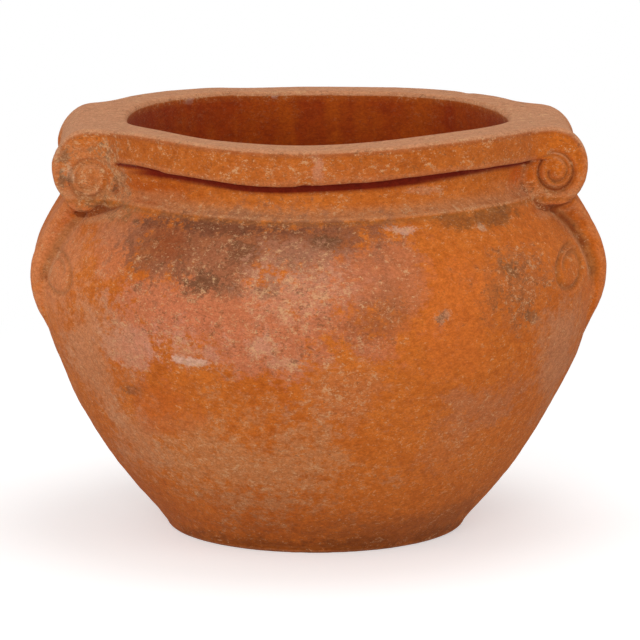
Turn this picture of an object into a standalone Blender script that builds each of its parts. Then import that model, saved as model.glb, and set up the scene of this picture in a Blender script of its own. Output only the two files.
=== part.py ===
# Terracotta planter with scroll lugs: thrown and pressed sections joined with slip.
# Metres, +Z up, origin on the ground at the middle of the foot, lugs along X.
import math

import bmesh
import bpy
from mathutils import Vector

# Turned body
HEIGHT = 0.306              # ground to rim top
FOOT_RADIUS = 0.1115        # at the ground
FOOT_FLARE = 0.80           # outward run per rise where the wall leaves the ground
FOOT_ROUND = 0.004          # worn edge at the ground
BELLY_RADIUS = 0.2065       # widest ring
BELLY_HEIGHT = 0.185        # ground to the widest ring
SHOULDER_SLOPE = 1.10       # inward run per rise where the shoulder meets the neck
MOUTH_RADIUS = 0.142
NECK_WALL = 0.018           # mouth to the waist of the hollow neck
NECK_SPREAD = 0.008         # how far the neck spreads from its waist to the shoulder
NECK_FLARE = 0.007          # height of that spread
NECK_HEIGHT = 0.0265
RIM_WIDTH = 0.0325          # mouth to the fascia at its fullest
RIM_HEIGHT = 0.0245
RIM_ROUND = 0.003           # soft upper and lower edges of the fascia
LIP_ROUND = 0.004           # soft edge round the mouth
WALL = 0.016
BOWL_HEIGHT = 0.150         # ground to the joint between bowl and belly
TONGUE = 0.006              # inner half of that joint stands up by this much
FLOOR_THICKNESS = 0.018
FLOOR_SEAT = 0.012          # ledge on the floor slab that the bowl stands on
DRAIN_RADIUS = 0.0125

# Scroll lugs
LUG_WIDTH = 0.134           # end face to end face
LUG_ROUND = 0.003           # soft edges of the end faces
SWEEP = 0.040               # radius of the swing from the fascia out to the end faces
SWEEP_STEP = 0.0005         # how far the swing stands back from strip and end faces
VOLUTE_SET = 0.0035         # middle of the upper volute inside the line of the fascia
VOLUTE_DEPTH = 0.0275       # rim top down to that middle
VOLUTE_OUT = 0.026          # middle to the outermost line
VOLUTE_DOWN = 0.030         # middle to the underside
VOLUTE_IN = 0.0135          # middle to the line that curls back towards the neck
VOLUTE_DISC = 0.013         # thickness of the disc at each end of the upper roll
WAIST = 0.0022              # how far the roll stands back between its discs
EYE_DOWN = 0.005            # eye of the spiral below the middle of the volute
WEB_INSET = 0.004           # web behind the volute stands back from the end face
BOSS_PROUD = 0.006          # outermost line of the lower scroll beyond the widest ring
BOSS_HEIGHT = 0.198         # ground to that line
BOSS_CURL = 0.024           # how far the lower scroll turns back in at its tail
TAIL_RISE = 0.004           # joint between bowl and belly up to the tail
BOSS_LEAN = 0.0105          # how far the lower scroll leans out below the notch
BOSS_FALL = 0.0145          # how far it falls meanwhile
BOSS_SWELL = 0.022          # height over which it turns upright to the outermost line
BOSS_TAPER = 0.24           # how fast each end of the lower scroll draws in below the notch
NOTCH_ANGLE = math.radians(50)  # where the two scrolls meet, below the middle of the volute

# Applied spiral coils
UPPER_COIL_TURNS = 1.5
LOWER_COIL_TURNS = 1.3
COIL_RELIEF = 0.0032        # height of a coil
COIL_EDGE = 0.0009          # soft edge of a coil
UPPER_COIL_RADIUS = 0.0140
LOWER_COIL_RADIUS = 0.0125
COIL_GROOVE = 0.0018        # groove between turns
COIL_POINTS = 17            # points in one turn
LOWER_COIL_MARGIN = 0.0035  # lower coil to the end face of the lug
LOWER_COIL_RISE = 0.010     # eye of the lower coil above the outermost line of the lower scroll
LOWER_TAIL_REACH = 0.033    # eye of the lower coil to the loose end of its tail
LOWER_TAIL_ANGLE = 70       # direction of that end below the level of the eye, in degrees
LOWER_TAIL_TURN = 0.3       # part of a turn over which the tail draws in
LOWER_TAIL_SWELL = 0.7      # how much wider the band is at its loose end

# Joints and resolution
SLIP = 0.0003               # slip between two pieces
SEGMENTS = 64
ARC_STEPS = 6

NECK_RADIUS = MOUTH_RADIUS + NECK_WALL
SHOULDER_RADIUS = NECK_RADIUS + NECK_SPREAD
RIM_RADIUS = MOUTH_RADIUS + RIM_WIDTH
NECK_BASE = HEIGHT - RIM_HEIGHT - NECK_HEIGHT
RIM_BASE = HEIGHT - RIM_HEIGHT
HALF_LUG = LUG_WIDTH / 2
VOLUTE_REACH = RIM_RADIUS - VOLUTE_SET
VOLUTE_Z = HEIGHT - VOLUTE_DEPTH
BOSS_REACH = BELLY_RADIUS + BOSS_PROUD
NOTCH_Z = VOLUTE_Z - (VOLUTE_DOWN + SLIP) * math.sin(NOTCH_ANGLE)

TERRACOTTA = (0.50, 0.14, 0.035, 1.0)
DUSTY_CLAY = (0.52, 0.23, 0.115, 1.0)
DAMP_CLAY = (0.30, 0.075, 0.015, 1.0)


def clear_scene():
    for obj in list(bpy.data.objects):
        bpy.data.objects.remove(obj)


def new_collection(name):
    collection = bpy.data.collections.new(name)
    bpy.context.scene.collection.children.link(collection)
    return collection


def clay(name, colour, roughness):
    material = bpy.data.materials.new(name)
    material.use_nodes = True
    shader = material.node_tree.nodes["Principled BSDF"]
    shader.inputs["Base Color"].default_value = colour
    shader.inputs["Roughness"].default_value = roughness
    shader.inputs["Metallic"].default_value = 0.0
    return material


def hermite(start, start_slope, end, end_slope, span, t):
    rise = (1 - t) ** 2 * (1 + 2 * t) * start + t * t * (3 - 2 * t) * end
    lean = t * (1 - t) ** 2 * start_slope - t * t * (1 - t) * end_slope
    return rise + span * lean


def belly_line(z):
    if z <= BELLY_HEIGHT:
        return hermite(FOOT_RADIUS, FOOT_FLARE, BELLY_RADIUS, 0.0, BELLY_HEIGHT, z / BELLY_HEIGHT)
    span = NECK_BASE - BELLY_HEIGHT
    return hermite(BELLY_RADIUS, 0.0, SHOULDER_RADIUS, -SHOULDER_SLOPE, span, (z - BELLY_HEIGHT) / span)


def belly_point(z, outward):
    step = 0.0005
    slope = (belly_line(z + step) - belly_line(z - step)) / (2 * step)
    length = math.hypot(1.0, slope)
    return belly_line(z) + outward / length, z - outward * slope / length


def inner_radius(z):
    low, high = 0.0, NECK_BASE
    for _ in range(40):
        middle = (low + high) / 2
        if belly_point(middle, -WALL)[1] < z:
            low = middle
        else:
            high = middle
    return belly_point(low, -WALL)[0]


def heights(bottom, top, count):
    return [bottom + (top - bottom) * i / count for i in range(count + 1)]


def arc(centre, radii, start, end, steps=ARC_STEPS):
    angles = [math.radians(start + (end - start) * i / steps) for i in range(steps + 1)]
    return [(centre[0] + radii[0] * math.cos(a), centre[1] + radii[1] * math.sin(a)) for a in angles]


def bezier(a, b, c, d, steps=ARC_STEPS):
    a, b, c, d = Vector(a), Vector(b), Vector(c), Vector(d)
    ts = [i / steps for i in range(steps + 1)]
    return [tuple(a * (1 - t) ** 3 + b * (3 * t * (1 - t) ** 2) + c * (3 * t * t * (1 - t)) + d * t ** 3)
            for t in ts]


def add_object(name, mesh, collection):
    obj = bpy.data.objects.new(name, mesh)
    collection.objects.link(obj)
    return obj


def add_part(name, mesh, material):
    obj = add_object(name, mesh, parts)
    obj.parent = planter
    mesh.materials.clear()
    mesh.materials.append(material)
    mesh.shade_smooth()
    mesh.set_sharp_from_angle(angle=math.radians(32))
    return obj


def settled_mesh(obj, name):
    bpy.context.view_layer.update()
    evaluated = obj.evaluated_get(bpy.context.evaluated_depsgraph_get())
    mesh = bpy.data.meshes.new_from_object(evaluated)
    mesh.name = name
    mesh.transform(obj.matrix_world)
    bm = bmesh.new()
    bm.from_mesh(mesh)
    bmesh.ops.remove_doubles(bm, verts=bm.verts, dist=1e-6)
    bmesh.ops.recalc_face_normals(bm, faces=bm.faces)
    bm.to_mesh(mesh)
    bm.free()
    bpy.data.objects.remove(obj)
    return mesh


# Turns a profile, listed down its outer side and back up its inner side, about the pot's axis.
def turned_mesh(name, profile, ring=True):
    bm = bmesh.new()
    verts = [bm.verts.new((r, 0.0, z)) for r, z in profile]
    pairs = list(zip(verts, verts[1:]))
    if ring:
        pairs.append((verts[-1], verts[0]))
    for pair in pairs:
        bm.edges.new(pair)
    mesh = bpy.data.meshes.new(name)
    bm.to_mesh(mesh)
    bm.free()
    obj = add_object(name + "_profile", mesh, cutters)
    screw = obj.modifiers.new("Turn", "SCREW")
    screw.steps = SEGMENTS
    screw.render_steps = SEGMENTS
    screw.use_merge_vertices = True
    screw.merge_threshold = 0.00001
    return settled_mesh(obj, name)


# A flat outline, extruded to both sides of its plane.
def add_outline(name, outline, width, rounding=0.0, bevel_resolution=0):
    curve = bpy.data.curves.new(name, "CURVE")
    curve.dimensions = "2D"
    curve.fill_mode = "BOTH"
    curve.extrude = width / 2 - rounding
    curve.bevel_depth = rounding
    curve.bevel_resolution = bevel_resolution
    curve.offset = -rounding
    spline = curve.splines.new("POLY")
    spline.points.add(len(outline) - 1)
    for point, (x, y) in zip(spline.points, outline):
        point.co = (x, y, 0.0, 1.0)
    spline.use_cyclic_u = True
    return add_object(name + "_outline", curve, cutters)


# Extrudes an outline in the XZ plane along Y, centred on Y = 0, with rounded end edges.
def prism_mesh(name, outline, width, rounding, bevel_resolution=1):
    obj = add_outline(name, outline, width, rounding, bevel_resolution)
    obj.rotation_euler = (math.pi / 2, 0.0, 0.0)
    return settled_mesh(obj, name)


def add_cutter(name, mesh):
    obj = add_object(name, mesh, cutters)
    obj.hide_render = True
    obj.display_type = "WIRE"
    return obj


def combined_mesh(name, mesh, steps):
    obj = add_object(name + "_blank", mesh, cutters)
    for operation, other in steps:
        boolean = obj.modifiers.new(operation.title(), "BOOLEAN")
        boolean.operation = operation
        boolean.object = other
    return settled_mesh(obj, name)


def mirrored(outline, side):
    return [(side * x, z) for x, z in outline]


def build_floor_slab():
    key = inner_radius(FLOOR_THICKNESS) - SLIP
    edge = arc((FOOT_RADIUS, FOOT_ROUND), (belly_line(FOOT_ROUND) - FOOT_RADIUS, FOOT_ROUND), 0, -90, 3)
    profile = [(key, FLOOR_THICKNESS), (key, FLOOR_SEAT), (belly_line(FLOOR_SEAT), FLOOR_SEAT)]
    profile += edge
    profile += [(DRAIN_RADIUS, 0.0), (DRAIN_RADIUS, FLOOR_THICKNESS)]
    add_part("floor_slab", turned_mesh("floor_slab", profile), clay("floor_clay", DAMP_CLAY, 0.95))


def joint_radius():
    return belly_line(BOWL_HEIGHT) - WALL / 2


def build_bowl_wall():
    seat = FLOOR_SEAT + SLIP
    outside = [(belly_line(z), z) for z in heights(BOWL_HEIGHT, seat, 8)]
    inside = [(inner_radius(z), z) for z in heights(FLOOR_THICKNESS, BOWL_HEIGHT + TONGUE, 6)]
    foot = [(inside[0][0], seat)]
    tongue = [(joint_radius(), BOWL_HEIGHT + TONGUE), (joint_radius(), BOWL_HEIGHT)]
    profile = outside + foot + inside + tongue
    add_part("bowl_wall", turned_mesh("bowl_wall", profile), clay("bowl_clay", TERRACOTTA, 0.9))


# Outline of the lower scroll: cradle under the volute, bulge, tail, then back into the wall.
def boss_outline():
    middle = (VOLUTE_REACH, VOLUTE_Z)
    cradle_radii = (VOLUTE_OUT + SLIP, VOLUTE_DOWN + SLIP)
    cradle = arc(middle, cradle_radii, -90, -math.degrees(NOTCH_ANGLE), 4)
    notch = cradle[-1]
    lean = (notch[0] + BOSS_LEAN, notch[1] - BOSS_FALL)
    bulge = bezier(notch, lean, (BOSS_REACH, BOSS_HEIGHT + BOSS_SWELL), (BOSS_REACH, BOSS_HEIGHT), 7)
    drop = BOSS_HEIGHT - BOWL_HEIGHT - TAIL_RISE
    tail = arc((BOSS_REACH - BOSS_CURL, BOSS_HEIGHT), (BOSS_CURL, drop), 0, -90, 7)
    inner = MOUTH_RADIUS / 2
    return cradle + bulge[1:] + tail[1:] + [(inner, tail[-1][1]), (inner, cradle[0][1])]


# Half the width of the lower scroll, whose ends lean in from the notch down.
def boss_half(z):
    return HALF_LUG - BOSS_TAPER * (NOTCH_Z - z)


def build_belly_ring():
    bottom = BOWL_HEIGHT + SLIP
    outside = [(belly_line(z), z) for z in heights(NECK_BASE, bottom, 10)]
    tongue_top = bottom + TONGUE
    mouth_corner = (MOUTH_RADIUS, NECK_BASE - WALL / 4)
    shoulder_inside = belly_point(NECK_BASE, -WALL)
    inside = [(inner_radius(z), z) for z in heights(tongue_top, shoulder_inside[1], 6)]
    tongue = [(joint_radius() + SLIP, bottom), (joint_radius() + SLIP, tongue_top)]
    profile = outside + tongue + inside + [mouth_corner, (MOUTH_RADIUS, NECK_BASE)]
    ring = turned_mesh("belly_ring", profile)

    middle = [belly_point(z, -WALL / 2) for z in heights(NECK_BASE, bottom, 10)]
    middle = [(0.0, HEIGHT), (middle[0][0], HEIGHT)] + middle + [(middle[-1][0], bottom), (0.0, bottom)]
    core = add_cutter("mid_wall_core", turned_mesh("mid_wall_core", middle, ring=False))
    bosses = []
    for side in (-1, 1):
        blank = prism_mesh("boss", mirrored(boss_outline(), side), LUG_WIDTH, LUG_ROUND)
        for vert in blank.vertices:
            vert.co.y *= boss_half(vert.co.z) / HALF_LUG
        bosses.append(add_cutter("boss", combined_mesh("boss", blank, [("DIFFERENCE", core)])))
    mesh = combined_mesh("belly_ring", ring, [("UNION", boss) for boss in bosses])
    add_part("belly_ring", mesh, clay("belly_clay", TERRACOTTA, 0.9))


# Hollow line of the neck, from the rim down to the shoulder.
def neck_line(outward):
    waist = NECK_RADIUS + outward
    foot = (SHOULDER_RADIUS + outward, NECK_BASE)
    middle = (waist, (RIM_BASE + NECK_BASE) / 2)
    return bezier((waist, RIM_BASE), middle, (waist, NECK_BASE + NECK_FLARE), foot)


def build_neck_collar():
    base = NECK_BASE + SLIP
    profile = neck_line(0.0)[:-1] + [(SHOULDER_RADIUS, base), (MOUTH_RADIUS, base), (MOUTH_RADIUS, RIM_BASE)]
    add_part("neck_collar", turned_mesh("neck_collar", profile), clay("neck_clay", TERRACOTTA, 0.92))


def build_rim_ring():
    base = RIM_BASE + SLIP
    top_edge = arc((RIM_RADIUS - RIM_ROUND, HEIGHT - RIM_ROUND), (RIM_ROUND, RIM_ROUND), 90, 0, 3)
    low_edge = arc((RIM_RADIUS - RIM_ROUND, base + RIM_ROUND), (RIM_ROUND, RIM_ROUND), 0, -90, 3)
    lip = arc((MOUTH_RADIUS + LIP_ROUND, HEIGHT - LIP_ROUND), (LIP_ROUND, LIP_ROUND), 180, 90, 3)
    profile = top_edge + low_edge + [(MOUTH_RADIUS, base)] + lip
    add_part("rim_ring", turned_mesh("rim_ring", profile), clay("rim_clay", DUSTY_CLAY, 0.95))


# Outline of the upper volute: fascia strip along the rim, round the volute, back under the strip.
def volute_outline(inset=0.0):
    middle = (VOLUTE_REACH, VOLUTE_Z)
    crown = arc(middle, (VOLUTE_OUT - inset, VOLUTE_DEPTH - inset), 90, 0, 7)
    under = arc(middle, (VOLUTE_OUT - inset, VOLUTE_DOWN - inset), 0, -90, 6)
    curl = arc(middle, (VOLUTE_IN - inset, VOLUTE_DOWN - inset), -90, -180, 4)
    inner = MOUTH_RADIUS / 2
    top, base = HEIGHT - inset, RIM_BASE + inset
    strip = [(VOLUTE_REACH - VOLUTE_IN + inset, base), (inner, base), (inner, top)]
    return crown + under[1:] + curl[1:] + strip


# Draws the outer side of a roll in between the discs at its ends.
def draw_in_waist(mesh):
    bm = bmesh.new()
    bm.from_mesh(mesh)
    disc_edge = HALF_LUG - VOLUTE_DISC
    for y in (-disc_edge, WAIST - disc_edge, disc_edge - WAIST, disc_edge):
        geom = bm.verts[:] + bm.edges[:] + bm.faces[:]
        bmesh.ops.bisect_plane(bm, geom=geom, dist=1e-6, plane_co=(0.0, y, 0.0), plane_no=(0.0, 1.0, 0.0))
    for vert in bm.verts:
        out = abs(vert.co.x) - VOLUTE_REACH
        if out > 0 and abs(vert.co.y) < disc_edge - WAIST / 2:
            vert.co.x = math.copysign(VOLUTE_REACH + out * (1 - WAIST / VOLUTE_OUT), vert.co.x)
    bm.to_mesh(mesh)
    bm.free()


# Plan of a corner of the lug, where the fascia swings out to the disc at the end.
def sweep_plan():
    away = HALF_LUG - SWEEP_STEP + SWEEP
    reach = math.sqrt((RIM_RADIUS + SWEEP) ** 2 - away ** 2)
    meet = math.degrees(math.atan2(away, reach))
    swing = arc((reach, away), (SWEEP, SWEEP), -90, meet - 180, 5)
    inner, start = MOUTH_RADIUS / 2, HALF_LUG - VOLUTE_DISC / 2
    return [(reach, start)] + swing + [(inner, swing[-1][1]), (inner, start)]


def sweep_mesh(side, end):
    plan = [(side * x, end * y) for x, y in sweep_plan()]
    obj = add_outline("sweep", plan, 2 * RIM_HEIGHT)
    obj.location.z = RIM_BASE + 2 * SWEEP_STEP + RIM_HEIGHT
    return settled_mesh(obj, "sweep")


# Everything that a scroll seats against, grown by the slip.
def seat_profile():
    rim = [(0.0, 2 * HEIGHT), (RIM_RADIUS + SLIP, 2 * HEIGHT), (RIM_RADIUS + SLIP, RIM_BASE)]
    shoulder = [belly_point(z, SLIP) for z in heights(NECK_BASE, BELLY_HEIGHT, 6)]
    return rim + neck_line(SLIP)[:-1] + shoulder + [(0.0, BELLY_HEIGHT)]


def build_scrolls():
    seat = add_cutter("seat_envelope", turned_mesh("seat_envelope", seat_profile(), ring=False))
    pocket_depth = COIL_RELIEF + SLIP
    web_width = LUG_WIDTH - 2 * WEB_INSET
    underside = VOLUTE_Z - VOLUTE_DOWN
    inner = MOUTH_RADIUS / 2
    web_outline = [(VOLUTE_REACH, RIM_BASE), (VOLUTE_REACH, underside)]
    web_outline += [(inner, underside), (inner, RIM_BASE)]
    for side, word in ((-1, "left"), (1, "right")):
        roll = prism_mesh("roll", mirrored(volute_outline(), side), LUG_WIDTH, LUG_ROUND)
        draw_in_waist(roll)
        web = add_cutter("web", prism_mesh("web", mirrored(web_outline, side), web_width, WEB_INSET / 4))
        outline = mirrored(volute_outline(SWEEP_STEP), side)
        wide = prism_mesh("crown", outline, LUG_WIDTH + 4 * SWEEP, LUG_ROUND)
        crown = add_cutter("crown", wide)
        sweeps = [combined_mesh("sweep", sweep_mesh(side, end), [("INTERSECT", crown)]) for end in (-1, 1)]
        steps = [("UNION", add_cutter("sweep", sweep)) for sweep in sweeps]
        steps += [("UNION", web), ("DIFFERENCE", seat)]
        for end in (-1, 1):
            place = (side * VOLUTE_REACH, end * HALF_LUG, VOLUTE_Z - EYE_DOWN)
            bpy.ops.mesh.primitive_cylinder_add(vertices=32, radius=UPPER_COIL_RADIUS + SLIP,
                                                depth=2 * pocket_depth, location=place,
                                                rotation=(math.pi / 2, 0.0, 0.0))
            pocket = bpy.context.object
            steps.append(("DIFFERENCE", add_cutter("pocket", settled_mesh(pocket, "pocket"))))
        name = word + "_scroll"
        add_part(name, combined_mesh(name, roll, steps), clay(name + "_clay", TERRACOTTA, 0.9))


# Outline of a spiral coil round the origin: from its loose end it winds clockwise in to the eye.
def coil_outline(radius, turns, hand, start_angle, tail_reach, tail_swell):
    band = (radius - COIL_GROOVE * turns) / (turns + 1)
    pitch = band + COIL_GROOVE
    count = round(turns * COIL_POINTS)
    outer, inner = [], []
    for i in range(count + 1):
        turn = turns * i / count
        angle = math.radians(start_angle) - 2 * math.pi * turn
        tail = max(0.0, 1 - turn / LOWER_TAIL_TURN) ** 2
        reach = radius - pitch * turn + (tail_reach - radius) * tail
        width = band * (1 + tail_swell * tail)
        outer.append((hand * reach * math.cos(angle), reach * math.sin(angle)))
        inner.append((hand * (reach - width) * math.cos(angle), (reach - width) * math.sin(angle)))
    return outer + inner[::-1]


def build_upper_coils():
    material = clay("upper_coil_clay", TERRACOTTA, 0.9)
    for side, word in ((-1, "left"), (1, "right")):
        outline = coil_outline(UPPER_COIL_RADIUS, UPPER_COIL_TURNS, side, 90, UPPER_COIL_RADIUS, 0.0)
        for end, place in ((-1, "front"), (1, "back")):
            name = "upper_coil_" + word + "_" + place
            mesh = prism_mesh(name, outline, COIL_RELIEF, COIL_EDGE, 0)
            obj = add_part(name, mesh, material)
            depth = end * (HALF_LUG - COIL_RELIEF / 2)
            obj.location = (side * VOLUTE_REACH, depth, VOLUTE_Z - EYE_DOWN)


# The lower coils bend with the belly: each point keeps its X and Z and is laid on the wall.
def build_lower_coils():
    material = clay("lower_coil_clay", TERRACOTTA, 0.9)
    eye_z = BOSS_HEIGHT + LOWER_COIL_RISE
    lug_corner = math.sqrt(belly_line(eye_z) ** 2 - boss_half(eye_z) ** 2)
    reach = lug_corner - LOWER_COIL_RADIUS - LOWER_COIL_MARGIN
    for side, word in ((-1, "left"), (1, "right")):
        outline = coil_outline(LOWER_COIL_RADIUS, LOWER_COIL_TURNS, side, -LOWER_TAIL_ANGLE,
                               LOWER_TAIL_REACH, LOWER_TAIL_SWELL)
        for end, place in ((-1, "front"), (1, "back")):
            name = "lower_coil_" + word + "_" + place
            mesh = prism_mesh(name, outline, COIL_RELIEF, COIL_EDGE, 0)
            for vert in mesh.vertices:
                lift = SLIP + COIL_RELIEF / 2 + end * vert.co.y
                x = side * reach + vert.co.x
                z = eye_z + vert.co.z
                radius, lifted_z = belly_point(z, lift)
                angle = math.asin(x / belly_line(z))
                vert.co = (radius * math.sin(angle), end * radius * math.cos(angle), lifted_z)
            add_part(name, mesh, material)


clear_scene()
parts = new_collection("terracotta_planter")
cutters = new_collection("cutters")
planter = bpy.data.objects.new("planter", None)
parts.objects.link(planter)
build_floor_slab()
build_bowl_wall()
build_belly_ring()
build_neck_collar()
build_rim_ring()
build_scrolls()
build_upper_coils()
build_lower_coils()
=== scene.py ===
import math

import bmesh
import bpy
import numpy as np
from mathutils import Matrix, Vector, kdtree, noise
from mathutils.geometry import interpolate_bezier


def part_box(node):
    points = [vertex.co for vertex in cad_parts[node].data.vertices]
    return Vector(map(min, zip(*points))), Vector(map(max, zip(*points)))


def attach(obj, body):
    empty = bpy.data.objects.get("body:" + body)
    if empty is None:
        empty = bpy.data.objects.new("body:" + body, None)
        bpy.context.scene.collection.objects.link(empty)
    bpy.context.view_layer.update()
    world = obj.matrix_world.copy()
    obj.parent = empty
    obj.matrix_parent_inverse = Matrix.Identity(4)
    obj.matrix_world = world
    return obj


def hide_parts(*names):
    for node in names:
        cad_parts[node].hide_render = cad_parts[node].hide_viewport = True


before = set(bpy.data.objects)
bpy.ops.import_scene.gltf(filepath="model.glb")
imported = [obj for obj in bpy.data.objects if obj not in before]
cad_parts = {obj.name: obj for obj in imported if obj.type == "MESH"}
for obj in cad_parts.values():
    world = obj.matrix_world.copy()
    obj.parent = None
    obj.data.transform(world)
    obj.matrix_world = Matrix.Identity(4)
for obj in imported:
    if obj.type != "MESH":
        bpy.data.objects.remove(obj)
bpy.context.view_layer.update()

scene = bpy.context.scene
print("frame loaded:", len(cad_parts), "nodes")

cameraSetup = {
    "distance": 3.2,
    "height": 0.754,
    "pitch": 10.65,     # degrees down
    "turn": -1.3,       # degrees round the pot, to the left
    "lens": 243.6,
    "shiftX": 0.0031,
    "shiftY": 0.0018,
}


def addCamera(setup):
    camera = bpy.data.objects.new("camera", bpy.data.cameras.new("camera"))
    turn = math.radians(setup["turn"])
    reach = setup["distance"]
    camera.location = (reach * math.sin(turn), -reach * math.cos(turn), setup["height"])
    camera.rotation_euler = (math.radians(90 - setup["pitch"]), 0, turn)
    camera.data.lens = setup["lens"]
    camera.data.sensor_width = 36
    camera.data.shift_x = setup["shiftX"]
    camera.data.shift_y = setup["shiftY"]
    scene.collection.objects.link(camera)
    scene.camera = camera


addCamera(cameraSetup)
print("camera set")

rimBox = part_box("rim_ring")
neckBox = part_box("neck_collar")
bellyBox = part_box("belly_ring")
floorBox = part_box("floor_slab")

pot = {
    "rimTop": rimBox[1].z,
    "rimRadius": rimBox[1].x,
    "rimBase": neckBox[1].z,
    "neckBase": neckBox[0].z,
    "shoulderRadius": neckBox[1].x,
    "bellyRadius": bellyBox[1].y,
    "bowlTop": bellyBox[0].z,
    "floorTop": floorBox[1].z,
    "bellyHeight": 0.185,
    "shoulderSlope": 1.10,
    "neckRadius": 0.160,
    "neckFlare": 0.0035,
    "bead": 0.0014,
    "footRadius": 0.1103,
    "footFlare": 0.85,
    "mouthRadius": 0.142,
    "wall": 0.016,
    "wallSteps": 48,
    "drainRadius": 0.0125,
    "rimRound": 0.0030,
    "lipRound": 0.0045,
    "footRound": 0.0020,
    "trim": ([0, 0.015, 0.030, 0.050, 0.080, 0.115, 0.150, 0.185],      # wall against its plain curve
             [-0.0008, -0.0014, 0, 0.0010, 0, -0.0013, -0.0003, 0]),
    "voxel": 0.00175,
    "steps": 192,
}


def arcPoints(centre, radii, start, end, steps):
    angles = [math.radians(start + (end - start) * i / steps) for i in range(steps + 1)]
    return [(centre[0] + radii[0] * math.cos(a), centre[1] + radii[1] * math.sin(a)) for a in angles]


def bezierPoints(knots, steps):
    points = interpolate_bezier(*[Vector((x, 0, z)) for x, z in knots], steps + 1)
    return [(p.x, p.z) for p in points]


# shoulder, belly and bowl, from the neck down to the ground
def wallLine(steps):
    rise = pot["neckBase"] - pot["bellyHeight"]
    drop = pot["bellyHeight"]
    belly = (pot["bellyRadius"], pot["bellyHeight"])
    shoulder = (pot["shoulderRadius"], pot["neckBase"])
    upper = [shoulder, (shoulder[0] + pot["shoulderSlope"] * rise / 3, shoulder[1] - rise / 3),
             (belly[0], belly[1] + rise / 3), belly]
    lower = [belly, (belly[0], belly[1] - 0.30 * drop),
             (pot["footRadius"] + pot["footFlare"] * drop / 3, drop / 3), (pot["footRadius"], 0)]
    lower = [(r + np.interp(z, *pot["trim"]), z) for r, z in bezierPoints(lower, steps)]
    return bezierPoints(upper, steps) + lower[1:]


def neckLine(steps):
    waist, base = pot["neckRadius"], pot["neckBase"]
    middle = (pot["rimBase"] + base) / 2
    knots = [(waist, pot["rimBase"]), (waist - 0.001, middle), (waist + 0.001, base + pot["neckFlare"]),
             (pot["shoulderRadius"] + pot["bead"], base + 0.0018)]
    return bezierPoints(knots, steps)


def outerLine():
    top, radius, soft = pot["rimTop"], pot["rimRadius"], pot["rimRound"]
    foot = pot["footRound"]
    upEdge = arcPoints((radius - soft, top - soft), (soft, soft), 90, 0, 5)
    lowEdge = arcPoints((radius - soft, pot["rimBase"] + soft), (soft, soft), 0, -90, 5)
    wall = [p for p in wallLine(pot["wallSteps"]) if p[1] > foot]
    toe = arcPoints((wall[-1][0] - foot, foot), (foot, foot), -20, -90, 4)
    return [(0, top)] + upEdge + lowEdge + neckLine(12) + wall[1:] + toe + [(0, 0)]


# inner face of the wall, from the neck down to the floor
def innerLine():
    outside = wallLine(pot["wallSteps"])
    inside = []
    for before, point, after in zip(outside, outside[1:], outside[2:]):
        run = Vector((after[0] - before[0], after[1] - before[1])).normalized()
        inside.append((point[0] + run.y * pot["wall"], point[1] - run.x * pot["wall"]))
    throat = pot["neckBase"] - pot["wall"] / 4
    inside = [p for p in inside if pot["floorTop"] + 0.004 < p[1] < throat - 0.004]
    lip, mouth, top = pot["lipRound"], pot["mouthRadius"], pot["rimTop"]
    edge = arcPoints((mouth + lip, top - lip), (lip, lip), 90, 180, 6)
    straight = [(mouth, edge[-1][1] + (throat - edge[-1][1]) * i / 12) for i in range(1, 13)]
    corner = (inside[-1][0] - 0.005, pot["floorTop"])
    return edge + straight + inside + [corner]


def turned(points, steps):
    bm = bmesh.new()
    verts = [bm.verts.new((r, 0, z)) for r, z in points]
    edges = [bm.edges.new(pair) for pair in zip(verts, verts[1:])]
    bmesh.ops.spin(bm, geom=verts + edges, cent=(0, 0, 0), axis=(0, 0, 1),
                   angle=2 * math.pi, steps=steps, use_merge=True)
    bmesh.ops.remove_doubles(bm, verts=bm.verts, dist=0.00001)
    bmesh.ops.recalc_face_normals(bm, faces=bm.faces)
    return bm


# a flat outline drawn out to a solid, with the edges of its two ends rounded
def drawnOut(points, run, soft):
    bm = bmesh.new()
    face = bm.faces.new([bm.verts.new(p) for p in points])
    made = bmesh.ops.extrude_face_region(bm, geom=[face])["geom"]
    moved = [v for v in made if isinstance(v, bmesh.types.BMVert)]
    bmesh.ops.translate(bm, verts=moved, vec=run)
    bmesh.ops.recalc_face_normals(bm, faces=bm.faces)
    if soft > 0:
        along = Vector(run).normalized()
        ends = [f for f in bm.faces if abs(f.normal.dot(along)) > 0.9]
        rims = list(dict.fromkeys(e for f in ends for e in f.edges))
        bmesh.ops.bevel(bm, geom=rims, offset=soft, offset_type="OFFSET", segments=3,
                        profile=0.5, affect="EDGES", material=-1)
    return bm


def prism(outline, yLow, yHigh, side, soft):
    return drawnOut([(side * x, yLow, z) for x, z in outline], (0, yHigh - yLow, 0), soft)


def plate(outline, side, end, low, high, soft):
    return drawnOut([(side * x, -end * y, low) for x, y in outline], (0, 0, high - low), soft)


def plug(centre, axis, radius, low, high):
    bm = bmesh.new()
    turn = Vector((0, 0, 1)).rotation_difference(Vector(axis)).to_matrix().to_4x4()
    place = Matrix.Translation(centre) @ turn @ Matrix.Translation((0, 0, (low + high) / 2))
    bmesh.ops.create_cone(bm, cap_ends=True, segments=96, radius1=radius, radius2=radius,
                          depth=high - low, matrix=place)
    return bm


def block(low, high):
    bm = bmesh.new()
    size = [b - a for a, b in zip(low, high)]
    middle = [(a + b) / 2 for a, b in zip(low, high)]
    place = Matrix.Translation(middle) @ Matrix.Diagonal((*size, 1))
    bmesh.ops.create_cube(bm, size=1, matrix=place)
    return bm


def asMesh(bm, name):
    mesh = bpy.data.meshes.new(name)
    bm.to_mesh(mesh)
    bm.free()
    return mesh


def asObject(mesh, name):
    obj = bpy.data.objects.new(name, mesh)
    scene.collection.objects.link(obj)
    return obj


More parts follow.
